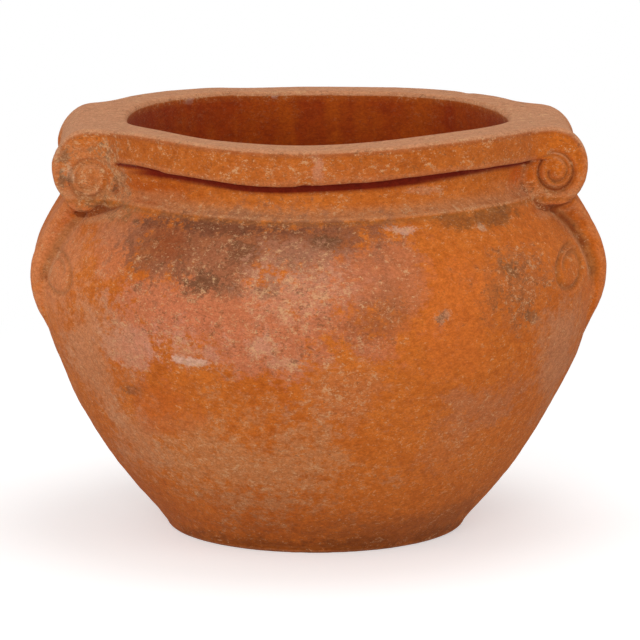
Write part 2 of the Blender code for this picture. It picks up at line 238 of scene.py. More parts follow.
def discard(obj):
    mesh = obj.data
    bpy.data.objects.remove(obj)
    bpy.data.meshes.remove(mesh)


def evaluated(obj):
    depsgraph = bpy.context.evaluated_depsgraph_get()
    return bpy.data.meshes.new_from_object(obj.evaluated_get(depsgraph))


def combined(mesh, cutter, operation):
    blank, tool = asObject(mesh, "blank"), asObject(cutter, "tool")
    boolean = blank.modifiers.new("boolean", "BOOLEAN")
    boolean.solver = "MANIFOLD"
    boolean.operation = operation
    boolean.object = tool
    made = evaluated(blank)
    bpy.data.objects.remove(blank)
    bpy.data.objects.remove(tool)
    return made


def joined(meshes, name):
    bm = bmesh.new()
    for mesh in meshes:
        bm.from_mesh(mesh)
    return asMesh(bm, name)


lug = {
    "halfWidth": 0.067,
    "soft": 0.0030,
    "volute": (0.171, 0.2785),      # middle of the upper roll
    "voluteRadii": (0.0257, 0.0275),
    "voluteDrop": 0.0300,
    "sag": {-1: 0.0050, 1: 0.0006}, # how much lower the front discs hang
    "discWidth": 0.013,
    "waist": 0.0024,                # roll drawn in between its discs
    "rollLap": 0.006,               # how far the roll reaches into the discs
    "webInset": {-1: 0.0010, 1: 0.0045},
    "webRoot": 0.11,
    "webBelow": (0.026, 0.006),     # below the roll's middle and below the rim's top
    "sweep": 0.040,                 # radius of the fascia's swing out to the lug
    "notch": (0.1885, 0.2540),
    "bossReach": bellyBox[1].x,
    "bossHeight": 0.198,
    "bossEnd": (0.1950, 0.1470),
    "bossHalf": ([0.150, 0.180, 0.206, 0.2195, 0.2335, 0.2425, 0.250, 0.254],
                 [0.050, 0.048, 0.046, 0.044, 0.046, 0.052, 0.057, 0.058]),
    "bossSpare": 0.0010,            # past the CAD's reach, for what smoothing takes
    "bossPulls": ((0.0105, -0.0145), 0.022, -0.018, (0.0100, 0.018)),   # handles of its outer line
    "bossRoot": 0.150,
    "bossRound": 0.0075,
    "cheekRadius": 0.0240,          # left disc runs on over the end of the fascia
    "cheekEye": (-0.1705, 0.2750),
    "cornerInset": 0.0004,
    "cheekInset": 0.0040,
    "fillCorner": 0.161,
    "fillCore": 0.10,               # radians from a corner where the neck is filled most
    "neckFill": {(-1, -1): (0.0160, 0.62), (1, -1): (0.0050, 0.40), (-1, 1): (0.0070, 0.45),
                 (1, 1): (0.0060, 0.45)},
}


def smoothStep(low, high, value):
    t = np.clip((value - low) / (high - low), 0, 1)
    return t * t * (3 - 2 * t)


def rollOutline(drawIn, sag=0.0):
    a, b = lug["voluteRadii"]
    upper = arcPoints(lug["volute"], (a - drawIn, b), 0, 180, 36)
    lower = arcPoints(lug["volute"], (a - drawIn, lug["voluteDrop"] + sag), 180, 360, 36)
    return upper + lower[1:-1]


# outer line of a lower scroll, from the notch down
def bossLine():
    reach, high = lug["bossReach"] + lug["bossSpare"], lug["bossHeight"]
    notch, end = lug["notch"], lug["bossEnd"]
    out, up, down, back = lug["bossPulls"]
    bulge = bezierPoints([notch, (notch[0] + out[0], notch[1] + out[1]), (reach, high + up), (reach, high)], 24)
    tail = bezierPoints([(reach, high), (reach, high + down), (end[0] + back[0], end[1] + back[1]), end], 24)
    return bulge + tail[1:]


def bossSolid(side):
    bm = bmesh.new()
    rings = []
    soft, root = lug["bossRound"], lug["bossRoot"]
    for x, z in bossLine():
        half = np.interp(z, *lug["bossHalf"])
        edge = arcPoints((x - soft, half - soft), (soft, soft), 90, 0, 5)
        ring = [(root, half)] + edge + [(u, -v) for u, v in reversed(edge)] + [(root, -half)]
        rings.append([bm.verts.new((side * u, v, z)) for u, v in ring])
    for above, below in zip(rings, rings[1:]):
        for i in range(len(above)):
            bm.faces.new((above[i - 1], above[i], below[i], below[i - 1]))
    bm.faces.new(rings[0])
    bm.faces.new(rings[-1])
    bmesh.ops.recalc_face_normals(bm, faces=bm.faces)
    return bm


# plan of a corner, where the fascia swings out along the lug
def cornerPlan(radius):
    half, sweep = lug["halfWidth"], lug["sweep"]
    reach = math.sqrt((radius + sweep) ** 2 - (half + sweep) ** 2)
    meet = math.degrees(math.atan2(half + sweep, reach))
    ring = arcPoints((0, 0), (radius, -radius), 60, meet, 14)
    curve = arcPoints((reach, -half - sweep), (sweep, sweep), 180 - meet, 90, 14)
    return ring + curve[1:] + [(reach, 0), (ring[0][0], 0)]


def lugSolids(side):
    half, soft, disc, lap = lug["halfWidth"], lug["soft"], lug["discWidth"], lug["rollLap"]
    x, z = lug["volute"]
    solids = [
        prism(rollOutline(0, lug["sag"][side]), -half, disc - half, side, soft),
        prism(rollOutline(0), half - disc, half, side, soft),
        prism(rollOutline(lug["waist"]), lap - half, half - lap, side, 0),
        bossSolid(side),
    ]
    base, top = pot["rimBase"], pot["rimTop"]
    web, root = half - lug["webInset"][side], lug["webRoot"]
    low, high = z - lug["webBelow"][0], top - lug["webBelow"][1]
    solids.append(prism([(root, low), (x, low), (x, high), (root, high)], -web, web, side, 0))
    for end in (-1, 1):
        corner = plate(cornerPlan(pot["rimRadius"] - lug["cornerInset"]), side, end, base, top, pot["rimRound"])
        for vert in corner.verts:       # its top follows the round of the roll
            over = max(0.0, abs(vert.co.x) - x)
            crown = z + lug["voluteRadii"][1] * math.sqrt(1 - (over / lug["voluteRadii"][0]) ** 2)
            vert.co.z = base + (vert.co.z - base) * (crown - base) / (top - base)
        solids.append(corner)
    return [asMesh(bm, "lug") for bm in solids]


def cheekMesh():
    ex, ez = lug["cheekEye"]
    drum = asMesh(plug((ex, 0, ez), (0, -1, 0), lug["cheekRadius"], 0.02, 0.12), "drum")
    shape = plate(cornerPlan(pot["rimRadius"] - lug["cheekInset"]), -1, -1, pot["neckBase"] - 0.01,
                  pot["rimTop"] - 0.002, 0.001)
    return combined(drum, asMesh(shape, "shape"), "INTERSECT")


# the hollow of the neck grows shallow towards the lugs
def neckFill():
    low, high = pot["neckBase"] - 0.001, pot["rimBase"] + 0.001
    waist, foot = pot["neckRadius"] - 0.0005, pot["shoulderRadius"] - 0.001
    bm = turned([(0, high), (waist, high), (waist, low + 0.007), (foot, low), (0, low)], pot["steps"])
    for vert in bm.verts:
        radius = math.hypot(vert.co.x, vert.co.y)
        if radius < 0.1:
            continue
        swell = 0
        for (side, end), (push, width) in lug["neckFill"].items():
            corner = math.atan2(end * lug["halfWidth"], side * lug["fillCorner"])
            away = abs(math.remainder(math.atan2(vert.co.y, vert.co.x) - corner, 2 * math.pi))
            swell = max(swell, push * (1 - smoothStep(lug["fillCore"], width, away)))
        grow = 1 + swell * smoothStep(low, high, vert.co.z) / radius
        vert.co.x *= grow
        vert.co.y *= grow
    return asMesh(bm, "neckFill")


def remeshed(mesh, voxel, rounds):
    obj = asObject(mesh, "clay")
    remesh = obj.modifiers.new("remesh", "REMESH")
    remesh.mode = "VOXEL"
    remesh.voxel_size = voxel
    smooth = obj.modifiers.new("smooth", "SMOOTH")
    smooth.factor = 0.5
    smooth.iterations = rounds
    made = evaluated(obj)
    discard(obj)
    return made


body = asMesh(turned(outerLine(), pot["steps"]), "body")
solids = [body] + lugSolids(-1) + lugSolids(1) + [cheekMesh(), neckFill()]
skin = remeshed(joined(solids, "clay"), pot["voxel"], 5)
print("clay skin:", len(skin.vertices), "points")

spirals = {
    "eye": {-1: (0.1693, 0.2690), 1: (0.1720, 0.2728)},
    "lowerEye": {-1: (0.1930, 0.2015), 1: (0.1815, 0.2075)},
    "lowerTall": 1.25,
    "line": ([0, 0.5, 1.0, 1.35, 1.7, 2.0], [0.0140, 0.0130, 0.0118, 0.0088, 0.0058, 0.0030]),
    "lowerLine": ([0, 0.5, 1.0, 1.4], [0.0120, 0.0105, 0.0088, 0.0050]),
    "start": 125,           # degrees, where the groove leaves the fascia
    "lowerStart": -60,
    "depth": {(1, -1): 0.0032, (-1, -1): 0.0022, (1, 1): 0.0026, (-1, 1): 0.0020},
    "halfWidth": {(1, -1): 0.0018, (-1, -1): 0.0021, (1, 1): 0.0018, (-1, 1): 0.0019},
    "fade": (0.75, 1.25, 0.22),     # inner turns are worn shallower
    "facing": (0.35, 0.75),         # only a disc's flat face is pressed
    "faceZone": (0.007, 0.003),
    "lowZone": (-0.012, 0.010),     # the groove is wider and deeper below the eye
    "fineRadius": 0.018,
    "rim": (0.1705, 0.2750, 0.0240),    # worn groove round the left disc
    "rimArc": (-60, -30, 35, 65),
    "rimDepth": 0.0009,
    "rimHalfWidth": 0.0022,
    "lowerDepth": {(1, -1): 0.0032, (-1, -1): 0.0021, (1, 1): 0.0022, (-1, 1): 0.0018},
    "lowerHalfWidth": 0.0020,
    "lowerRise": 0.0014,
    "lowerPad": (0.0120, 0.0230),
    "lowerZone": (0.040, 0.060),
    "lowerFineRadius": 0.019,
    "fold": {-1: ([0.1400, 0.1475, 0.1580, 0.1695, 0.1800, 0.1850],     # seams under the front discs
                  [0.2560, 0.2538, 0.2496, 0.2450, 0.2420, 0.2445]),
             1: ([0.1540, 0.1620, 0.1680, 0.1770, 0.1840, 0.1890],
                 [0.2505, 0.2488, 0.2476, 0.2476, 0.2495, 0.2525])},
    "foldDepth": {-1: 0.0022, 1: 0.0012},
    "foldHalfWidth": 0.0020,
    "foldCrest": (0.0045, 0.0008),      # drop below the seam and height of its pale edge
    "edge": ([0.1120, 0.1200, 0.1300, 0.1400, 0.1470, 0.1510],          # crease at the fascia's left end
             [0.2806, 0.2808, 0.2810, 0.2812, 0.2814, 0.2816]),
    "edgeDepth": 0.0022,
    "edgeHalfWidth": 0.0015,
}


def meshPoints(mesh):
    co = np.zeros(len(mesh.vertices) * 3)
    mesh.vertices.foreach_get("co", co)
    return co.reshape(-1, 3)


def meshNormals(mesh):
    normals = np.zeros(len(mesh.vertices) * 3, np.float32)
    mesh.vertex_normals.foreach_get("vector", normals)
    return normals.reshape(-1, 3).astype(float)


def setPoints(mesh, co):
    mesh.vertices.foreach_set("co", co.astype(np.float32).ravel())
    mesh.update()


# finer faces where the spirals are pressed in
def refineEyes(mesh):
    bm = bmesh.new()
    bm.from_mesh(mesh)
    edges = []
    for edge in bm.edges:
        p = (edge.verts[0].co + edge.verts[1].co) / 2
        side = 1 if p.x > 0 else -1
        (ex, ez), (lx, lz) = spirals["eye"][side], spirals["lowerEye"][side]
        upper = abs(p.y) > lug["halfWidth"] - 0.008 and math.hypot(abs(p.x) - ex, p.z - ez) < spirals["fineRadius"]
        lower = abs(p.y) > 0.050 and math.hypot(abs(p.x) - lx, p.z - lz) < spirals["lowerFineRadius"]
        if upper or lower:
            edges.append(edge)
    bmesh.ops.subdivide_edges(bm, edges=edges, cuts=1, use_grid_fill=True)
    bmesh.ops.triangulate(bm, faces=[f for f in bm.faces if len(f.verts) > 4])
    bm.to_mesh(mesh)
    bm.free()
    mesh.update()


# a groove that winds clockwise in to its eye, seen from the front on the right
def spiralGroove(u, v, line, start, halfWidth):
    reach = np.hypot(u, v)
    turn = (math.radians(start) - np.arctan2(v, u)) / (2 * math.pi)
    last = line[0][-1]
    depth = np.zeros_like(reach)
    for lap in range(-1, 4):
        along = turn + lap
        ends = smoothStep(-0.04, 0.10, along) * (1 - smoothStep(last - 0.2, last, along))
        ends *= 1 - spirals["fade"][2] * smoothStep(*spirals["fade"][:2], along)
        depth = np.maximum(depth, ends * np.exp(-((reach - np.interp(along, *line)) / halfWidth) ** 2))
    return depth


# how near points lie to a seam on one side of the front, or to the line that lies lower by the drop
def seamAt(co, side, xs, zs, halfWidth, drop=0.0):
    x = side * co[:, 0]
    ends = smoothStep(xs[0], xs[1], x) * (1 - smoothStep(xs[-2], xs[-1], x)) * (co[:, 1] < -0.040)
    return ends * np.exp(-((co[:, 2] + drop - np.interp(x, xs, zs)) / halfWidth) ** 2)


def foldAt(co, drop):
    return np.maximum(*[seamAt(co, side, *line, spirals["foldHalfWidth"], drop)
                        for side, line in spirals["fold"].items()])


def edgeAt(co):
    return seamAt(co, -1, *spirals["edge"], spirals["edgeHalfWidth"])


def pressSpirals(co, normals):
    rise, pressed = np.zeros(len(co)), np.zeros(len(co))
    for side in (-1, 1):
        for end in (-1, 1):
            key = (side, end)
            u = side * co[:, 0] - spirals["eye"][side][0]
            v = co[:, 2] - spirals["eye"][side][1]
            flat = smoothStep(*spirals["facing"], end * normals[:, 1])
            near = smoothStep(*[lug["halfWidth"] - inset for inset in spirals["faceZone"]], end * co[:, 1])
            low = 1 - smoothStep(*spirals["lowZone"], v)
            groove = spiralGroove(u, v, spirals["line"], spirals["start"],
                                  spirals["halfWidth"][key] * (0.9 + 0.4 * low))
            deep = spirals["depth"][key] * (0.7 + 0.6 * low)
            pressed += flat * near * deep * groove
            u = side * co[:, 0] - spirals["lowerEye"][side][0]
            v = co[:, 2] - spirals["lowerEye"][side][1]
            near = smoothStep(*spirals["lowerZone"], end * co[:, 1])
            groove = spiralGroove(u, -v / spirals["lowerTall"], spirals["lowerLine"], spirals["lowerStart"],
                                  spirals["lowerHalfWidth"])
            pressed += near * spirals["lowerDepth"][key] * groove
            pad = 1 - smoothStep(*spirals["lowerPad"], np.hypot(u, v))
            rise += near * spirals["lowerRise"] * pad
    x, z, radius = spirals["rim"]
    u, v = co[:, 0] + x, co[:, 2] - z
    turn, arc = np.degrees(np.arctan2(v, u)), spirals["rimArc"]
    side = smoothStep(*arc[:2], turn) * (1 - smoothStep(*arc[2:], turn)) * (co[:, 1] < -0.055)
    pressed += spirals["rimDepth"] * side * np.exp(-((np.hypot(u, v) - radius) / spirals["rimHalfWidth"]) ** 2)
    drop, height = spirals["foldCrest"]
    pressed += np.where(co[:, 0] < 0, *spirals["foldDepth"].values()) * foldAt(co, 0)
    rise += height * foldAt(co, drop) * (co[:, 0] < 0)
    pressed += spirals["edgeDepth"] * edgeAt(co)
    return rise - pressed, pressed


def fractalAt(co, size, octaves, shift):
    offset = Vector((shift, 2 * shift, 3 * shift))
    return np.array([noise.fractal(Vector(p) / size + offset, 1.0, 2.0, octaves) for p in co])


handwork = {
    "wobble": (0.075, 0.0011),      # size and height of the unevenness from pressing and throwing
    "lumps": (0.021, 0.00035),
    "tooth": (0.0065, 0.00016),
}
calmRim = (0.278, 0.300, 0.65)      # from and to which height, and how much calmer, the rim is
flatFoot = (0.0015, 0.006)          # the foot stays flat below these heights

# chips and knocks: place, width, depth
chips = [
    ((-0.013, -0.174, 0.2825), 0.0055, 0.0022),
    ((0.020, -0.173, 0.2830), 0.0035, 0.0012),
    ((-0.103, -0.175, 0.150), 0.0050, 0.0012),
    ((-0.134, -0.142, 0.128), 0.0060, 0.0012),
    ((0.087, -0.187, 0.193), 0.0045, 0.0012),
    ((0.114, -0.136, 0.246), 0.0040, 0.0010),
    ((-0.096, 0.106, 0.3050), 0.0045, 0.0010),
    ((-0.030, 0.140, 0.3050), 0.0045, 0.0012),
    ((0.120, 0.124, 0.3050), 0.0050, 0.0010),
    ((-0.060, 0.165, 0.2830), 0.0060, 0.0022),
    ((0.191, -0.066, 0.250), 0.0060, 0.0015),
    ((-0.196, -0.066, 0.292), 0.0060, 0.0016),
    ((0.197, 0.060, 0.275), 0.0060, 0.0018),
    ((-0.2110, 0.064, 0.215), 0.0080, 0.0018),
]


def sculpt(mesh):
    co, normals = meshPoints(mesh), meshNormals(mesh)
    rise, pressed = pressSpirals(co, normals)
    calm = 1 - calmRim[2] * smoothStep(*calmRim[:2], co[:, 2])
    for shift, (size, height) in enumerate(handwork.values()):
        rise += calm * height * fractalAt(co, size, 2, 1.7 + shift)
    for place, width, depth in chips:
        gap = np.linalg.norm(co - np.array(place), axis=1)
        near = gap < 3 * width
        ragged = 1 + 0.5 * fractalAt(co[near], 0.004, 2, 9.1)
        rise[near] -= depth * np.exp(-(gap[near] / (width * ragged)) ** 2)
    setPoints(mesh, co + normals * (rise * smoothStep(*flatFoot, co[:, 2]))[:, None])
    return pressed


def relaxed(mesh, weight, rounds):
    ends = np.zeros(len(mesh.edges) * 2, np.int32)
    mesh.edges.foreach_get("vertices", ends)
    a, b = ends.reshape(-1, 2).T
    soft = meshPoints(mesh)
    count = np.bincount(np.concatenate([a, b]), minlength=len(soft))[:, None]
    for _ in range(rounds):
        total = np.empty_like(soft)
        for k in range(3):
            total[:, k] = np.bincount(a, soft[b, k], len(soft)) + np.bincount(b, soft[a, k], len(soft))
        soft += weight * (total / count - soft)
    return soft


# how far each point stands proud of, or below, the clay around it
def standing(mesh, rounds):
    return np.einsum("ij,ij->i", meshPoints(mesh) - relaxed(mesh, 0.5, rounds), meshNormals(mesh))


# corners that wear has rubbed down: place, reach and rounds of rubbing
rubbing = {
    "underLeftDisc": ((-0.147, -0.078, 0.262), (0.026, 0.030, 0.017), 40),
    "leftStrap": ((-0.190, -0.050, 0.222), (0.030, 0.030, 0.034), 14),
    "leftTail": ((-0.200, 0, 0.154), (0.026, 0.075, 0.026), 30),
    "rightTail": ((0.200, 0, 0.154), (0.026, 0.075, 0.026), 30),
}


def rubDown(mesh):
    for place, reach, rounds in rubbing.values():
        away = np.linalg.norm((meshPoints(mesh) - place) / reach, axis=1)
        setPoints(mesh, relaxed(mesh, 0.5 * (1 - smoothStep(0.6, 1.0, away))[:, None], rounds))


rubDown(skin)
refineEyes(skin)
grooves = sculpt(skin)
print("spirals pressed, chips and handwork done")

proud = standing(skin, 12)
skinPoints, skinNormals = meshPoints(skin), meshNormals(skin)
skinTree = kdtree.KDTree(len(skinPoints))
for index, point in enumerate(skinPoints):
    skinTree.insert(point, index)
skinTree.balance()

hollowLine = innerLine()
cutRadius, cutTop, drain = hollowLine[0][0] + 0.012, 0.36, pot["drainRadius"]
cutLine = [(0, cutTop), (cutRadius, cutTop), (cutRadius, pot["rimTop"] + 0.002)] + hollowLine
cutLine += [(drain + 0.002, pot["floorTop"]), (drain, pot["floorTop"] - 0.002), (drain, -0.02), (0, -0.02)]
hollow = asMesh(turned(cutLine, pot["steps"]), "hollow")
clay = combined(skin, hollow, "DIFFERENCE")
print("hollow cut:", len(clay.polygons), "faces")

splits = {
    "cradle": 0.2575,       # height where an upper scroll leaves the shoulder
    "floor": pot["floorTop"] + 0.0006,
    "bowl": pot["bowlTop"],
    "neck": pot["neckBase"],
    "rim": pot["rimBase"],
    "plugRadius": 0.0150,
    "plugDepth": 0.0050,
    "lowerPlugRadius": 0.0135,
    "lowerPlugDepth": 0.0080,
    "plugHeight": 0.010,
    "lowerPlugHeight": 0.012,
}
lugSides, lugEnds = ((-1, "left"), (1, "right")), ((-1, "Front"), (1, "Back"))


def scrollZone(side):
    low, high = sorted((side * 0.12, side * 0.26))
    zone = asMesh(block((low, -0.09, splits["cradle"]), (high, 0.09, 0.34)), "zone")
    seat = [(0, 0.4), (pot["rimRadius"], 0.4), (pot["rimRadius"], pot["rimBase"])] + neckLine(6)
    seat += [(pot["shoulderRadius"] + 0.02, pot["neckBase"] - 0.02), (0, pot["neckBase"] - 0.02)]
    return combined(zone, asMesh(turned(seat, pot["steps"]), "seat"), "DIFFERENCE")


def slab(low, high):
    return asMesh(block((-0.4, -0.4, low), (0.4, 0.4, high)), "slab")


pieceMeshes = {}
rest = clay
for side, word in lugSides:
    lugMesh = combined(rest, scrollZone(side), "INTERSECT")
    rest = combined(rest, scrollZone(side), "DIFFERENCE")
    for end, place in lugEnds:
        ex, ez = spirals["eye"][side]
        start = (side * ex, end * lug["halfWidth"], ez)
        cutter = asMesh(plug(start, (0, end, 0), splits["plugRadius"], -splits["plugDepth"],
                             splits["plugHeight"]), "plug")
        pieceMeshes[word + "Coil" + place] = combined(lugMesh, cutter, "INTERSECT")
        lugMesh = combined(lugMesh, cutter, "DIFFERENCE")
    pieceMeshes[word + "Scroll"] = lugMesh

levels = [("potFloor", -0.05, splits["floor"]), ("potBowl", splits["floor"], splits["bowl"]),
          ("potBelly", splits["bowl"], splits["neck"]), ("potNeck", splits["neck"], splits["rim"]),
          ("potRim", splits["rim"], 0.4)]
for name, low, high in levels:
    pieceMeshes[name] = combined(rest, slab(low, high), "INTERSECT")

for side, word in lugSides:
    for end, place in lugEnds:
        ex, ez = spirals["lowerEye"][side]
        radius = np.interp(ez, *np.array(wallLine(pot["wallSteps"]))[::-1, ::-1].T)
        out = Vector((side * ex, end * math.sqrt(radius ** 2 - ex ** 2), 0))
        cutter = asMesh(plug(out + Vector((0, 0, ez)), out.normalized(), splits["lowerPlugRadius"],
                             -splits["lowerPlugDepth"], splits["lowerPlugHeight"]), "plug")
        pieceMeshes[word + "LowCoil" + place] = combined(pieceMeshes["potBelly"], cutter, "INTERSECT")
        pieceMeshes["potBelly"] = combined(pieceMeshes["potBelly"], cutter, "DIFFERENCE")
print("pieces split:", {name: len(mesh.polygons) for name, mesh in pieceMeshes.items()})

# how the rim rides up and down at places in millimetres, and how the pot leans
settling = {
    "rimLift": [(-142, -101, 6.0), (-89, -150, 2.2), (-15, -174, 0.3), (41, -170, 2.6), (93, -148, 5.6),
                (135, -110, 6.0), (150, -90, 4.5), (-157, 75, 6.2), (-123, 123, 3.8), (0, 174, 1.3),
                (108, 137, 2.6), (151, 88, 4.6), (-171, -67, 1.0), (-188, 0, 1.0), (-171, 67, 1.5),
                (171, -67, 2.0), (188, 0, 0.4), (175, 67, -0.8)],
    "reach": 34,
    "from": 0.232,
    "to": 0.287,
    "edgeLift": (-56, -165, -2.4, 26),      # the fascia's lower edge hangs left of the middle
    "edgeZone": (0.264, 0.279, 0.284, 0.302),
    "topTilt": (-112, -134, 1.5, 36),       # the rim's top tips inwards on the left
    "tiltZone": (0.286, 0.303),
    "tiltMiddle": (0.158, 0.016),           # radius it tips round, and half its width
    "lean": ([0.0, 0.05, 0.10, 0.13, 0.22, 0.31], [-0.0018, -0.0020, -0.0017, -0.0002, 0.0005, -0.0002]),
    "leftLug": ([0.125, 0.150, 0.168, 0.188, 0.205, 0.222, 0.240, 0.254, 0.266, 0.282, 0.298],
                [0, -0.0012, -0.0024, -0.0014, -0.0004, 0.0012, 0.0020, 0.0020, 0.0004, 0.0006, 0.0018]),
    "leftFrom": (-0.165, -0.190),
}


def settle(co):
    def nearTo(x, y, reach):
        return np.exp(-((co[:, 0] * 1000 - x) ** 2 + (co[:, 1] * 1000 - y) ** 2) / (2 * reach ** 2))

    total, weight = np.zeros(len(co)), np.full(len(co), 1e-6)
    for x, y, lift in settling["rimLift"]:
        share = nearTo(x, y, settling["reach"])
        total += share * lift * 0.001
        weight += share
    moved, z = co.copy(), co[:, 2]
    moved[:, 2] += total / weight * smoothStep(settling["from"], settling["to"], z)
    x, y, lift, reach = settling["edgeLift"]
    edge = smoothStep(*settling["edgeZone"][:2], z) * (1 - smoothStep(*settling["edgeZone"][2:], z))
    moved[:, 2] += lift * 0.001 * nearTo(x, y, reach) * edge
    x, y, lift, reach = settling["topTilt"]
    middle, halfWidth = settling["tiltMiddle"]
    out = np.clip((np.hypot(co[:, 0], co[:, 1]) - middle) / halfWidth, -1, 1)
    moved[:, 2] += lift * 0.001 * out * nearTo(x, y, reach) * smoothStep(*settling["tiltZone"], z)
    moved[:, 0] += np.interp(z, *settling["lean"])
    moved[:, 0] += smoothStep(*settling["leftFrom"], co[:, 0]) * np.interp(z, *settling["leftLug"])
    return moved


# reach of the painted shadow line under the fascia
underFascia = {
    "middle": 0.006,            # where the painted shadow line is tallest
    "tall": 0.0058,
    "loss": (0.0016, 0.0034),   # how much less tall it gets on the left and on the right
    "lossZone": (0.040, 0.140),
    "fadeDown": 0.0030,
    "fadeUp": 0.0014,
    "fadeOut": (0.0085, 0.0015),    # inside the rim's radius
    "lastZone": (0.140, 0.160),
}


# painted shadow along the crease under the fascia, which runs on into the edge's crease on the left
def creaseShadowAt(co, radius):
    away, z = np.abs(co[:, 0] - underFascia["middle"]), co[:, 2]
    base = pot["rimBase"]
    loss = np.where(co[:, 0] < 0, *underFascia["loss"]) * smoothStep(*underFascia["lossZone"], away)
    low = base - underFascia["tall"] + loss
    line = smoothStep(low - underFascia["fadeDown"], low, z) * (1 - smoothStep(base, base + underFascia["fadeUp"], z))
    line *= 1 - smoothStep(*[pot["rimRadius"] - inset for inset in underFascia["fadeOut"]], radius)
    line *= 1 - smoothStep(*underFascia["lastZone"], away)
    return np.maximum(line, edgeAt(co))


seams = {
    "dust": (-0.0006, 0.0006, 0.003, 0.011),    # heights above the neck's foot
    "dustShare": 0.8,
    # dirt with painted shade just under the neck's foot
    "dirtAndShade": (-0.0040, -0.0010, -0.0008, 0),
    "dirtAndShadeShare": 0.62,
    "strapFrom": (0.185, 0.200),
    "strapTo": (-0.003, 0),
    "crest": 0.0075,            # distances beside a strap
    "valley": 0.0010,
    "halfWidth": 0.0045,
    "valleyShare": (0.8, 0.55),     # on the right and on the left
    "grooves": ((0.0006, 0.0020, 0.0040), (0, 0.45, 0.60)),     # dirt and painted shade by a groove's depth
}


# dust on the foot of the neck and beside the straps, and dirt with painted shade in the seams next to it
def seamsAt(co, radius):
    base, z = pot["neckBase"], co[:, 2]

    def band(a, b, c, d):
        return smoothStep(base + a, base + b, z) * (1 - smoothStep(base + c, base + d, z))

    def ridge(value, middle):
        return np.exp(-((value - middle) / seams["halfWidth"]) ** 2)

    outside = radius > pot["neckRadius"] - 0.006
    dust = band(*seams["dust"]) * outside
    dirtAndShade = seams["dirtAndShadeShare"] * band(*seams["dirtAndShade"]) * outside
    line = np.array(wallLine(pot["wallSteps"]))[::-1]
    lift = radius - np.interp(z, line[:, 1], line[:, 0])
    away = np.abs(co[:, 1]) - np.interp(z, *lug["bossHalf"])
    below = 1 - smoothStep(*[base + height for height in seams["strapTo"]], z)
    beside = smoothStep(*seams["strapFrom"], z) * below * (np.abs(co[:, 0]) > 0.13)
    crest = ridge(away, seams["crest"]) * (lift < 0.005) * beside
    # painted shade with dirt in the valley beside a strap
    valley = ridge(away, seams["valley"]) * (1 - smoothStep(0.003, 0.010, lift)) * beside
    valley *= np.where(co[:, 0] > 0, *seams["valleyShare"])
    crest = np.maximum(crest, foldAt(co, spirals["foldCrest"][0]))
    return np.maximum(seams["dustShare"] * dust, crest), np.maximum(dirtAndShade, valley)


def markSurface(mesh):
    co, normals = meshPoints(mesh), meshNormals(mesh)
    radius = np.hypot(co[:, 0], co[:, 1])
    line = np.array(sorted(((z, r) for r, z in hollowLine)))
    wall = np.interp(co[:, 2], line[:, 0], line[:, 1])
    inside = (1 - smoothStep(0.0004, 0.0022, radius - wall)) * (co[:, 2] > pot["floorTop"] - 0.004)
    inside *= 1 - smoothStep(pot["rimTop"] - 0.0060, pot["rimTop"] - 0.0025, co[:, 2])
    found = [skinTree.find(p) for p in co]
    index = np.array([f[1] for f in found])
    near = np.array([f[2] for f in found]) < 0.0025     # on the outer skin, not on a cut
    dust, dirtAndShade = seamsAt(co, radius)
    marks = {
        "inside": inside,
        "stand": np.where(near, proud[index], 0.0) * 1000,      # millimetres
        "up": np.where(near, skinNormals[index, 2], normals[:, 2]),
        "creaseShadow": creaseShadowAt(co, radius) * (1 - inside),
        "dust": dust,
        "dirtAndShade": np.maximum(dirtAndShade, near * np.interp(grooves[index], *seams["grooves"])),
    }
    for name, values in marks.items():
        layer = mesh.attributes.new(name, "FLOAT", "POINT")
        layer.data.foreach_set("value", values.astype(np.float32))


def finishPiece(name, nodes, material):
    mesh = pieceMeshes[name]
    mesh.name = name
    markSurface(mesh)
    setPoints(mesh, settle(meshPoints(mesh)))
    mesh.materials.clear()
    mesh.materials.append(material)
    mesh.shade_smooth()
    mesh.set_sharp_from_angle(angle=math.radians(58))
    obj = asObject(mesh, name)
    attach(obj, "root")
    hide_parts(*nodes)
    return obj


def addNode(tree, kind, inputs=None, **settings):
    made = tree.nodes.new(kind)
    for key, value in settings.items():
        setattr(made, key, value)
    for key, value in (inputs or {}).items():
        if isinstance(value, bpy.types.NodeSocket):
            tree.links.new(value, made.inputs[key])
        else:
            made.inputs[key].default_value = value
    return made


def calc(tree, operation, a, b=0.0, c=0.0):
    return addNode(tree, "ShaderNodeMath", {0: a, 1: b, 2: c}, operation=operation).outputs[0]


def spread(tree, value, low, high):
    made = addNode(tree, "ShaderNodeMapRange", {"Value": value, "From Min": low, "From Max": high},
                   interpolation_type="SMOOTHSTEP")
    return made.outputs["Result"]


def blended(tree, factor, a, b, blend="MIX"):
    made = addNode(tree, "ShaderNodeMix", {0: factor, 6: a, 7: b}, data_type="RGBA", blend_type=blend)
    return made.outputs[2]


def newGroup(name, inputs, outputs):
    tree = bpy.data.node_groups.new(name, "ShaderNodeTree")
    for label, kind in inputs:
        tree.interface.new_socket(label, in_out="INPUT", socket_type=kind)
    for label in outputs:
        tree.interface.new_socket(label, in_out="OUTPUT", socket_type="NodeSocketFloat")
    return tree, tree.nodes.new("NodeGroupInput").outputs, tree.nodes.new("NodeGroupOutput").inputs


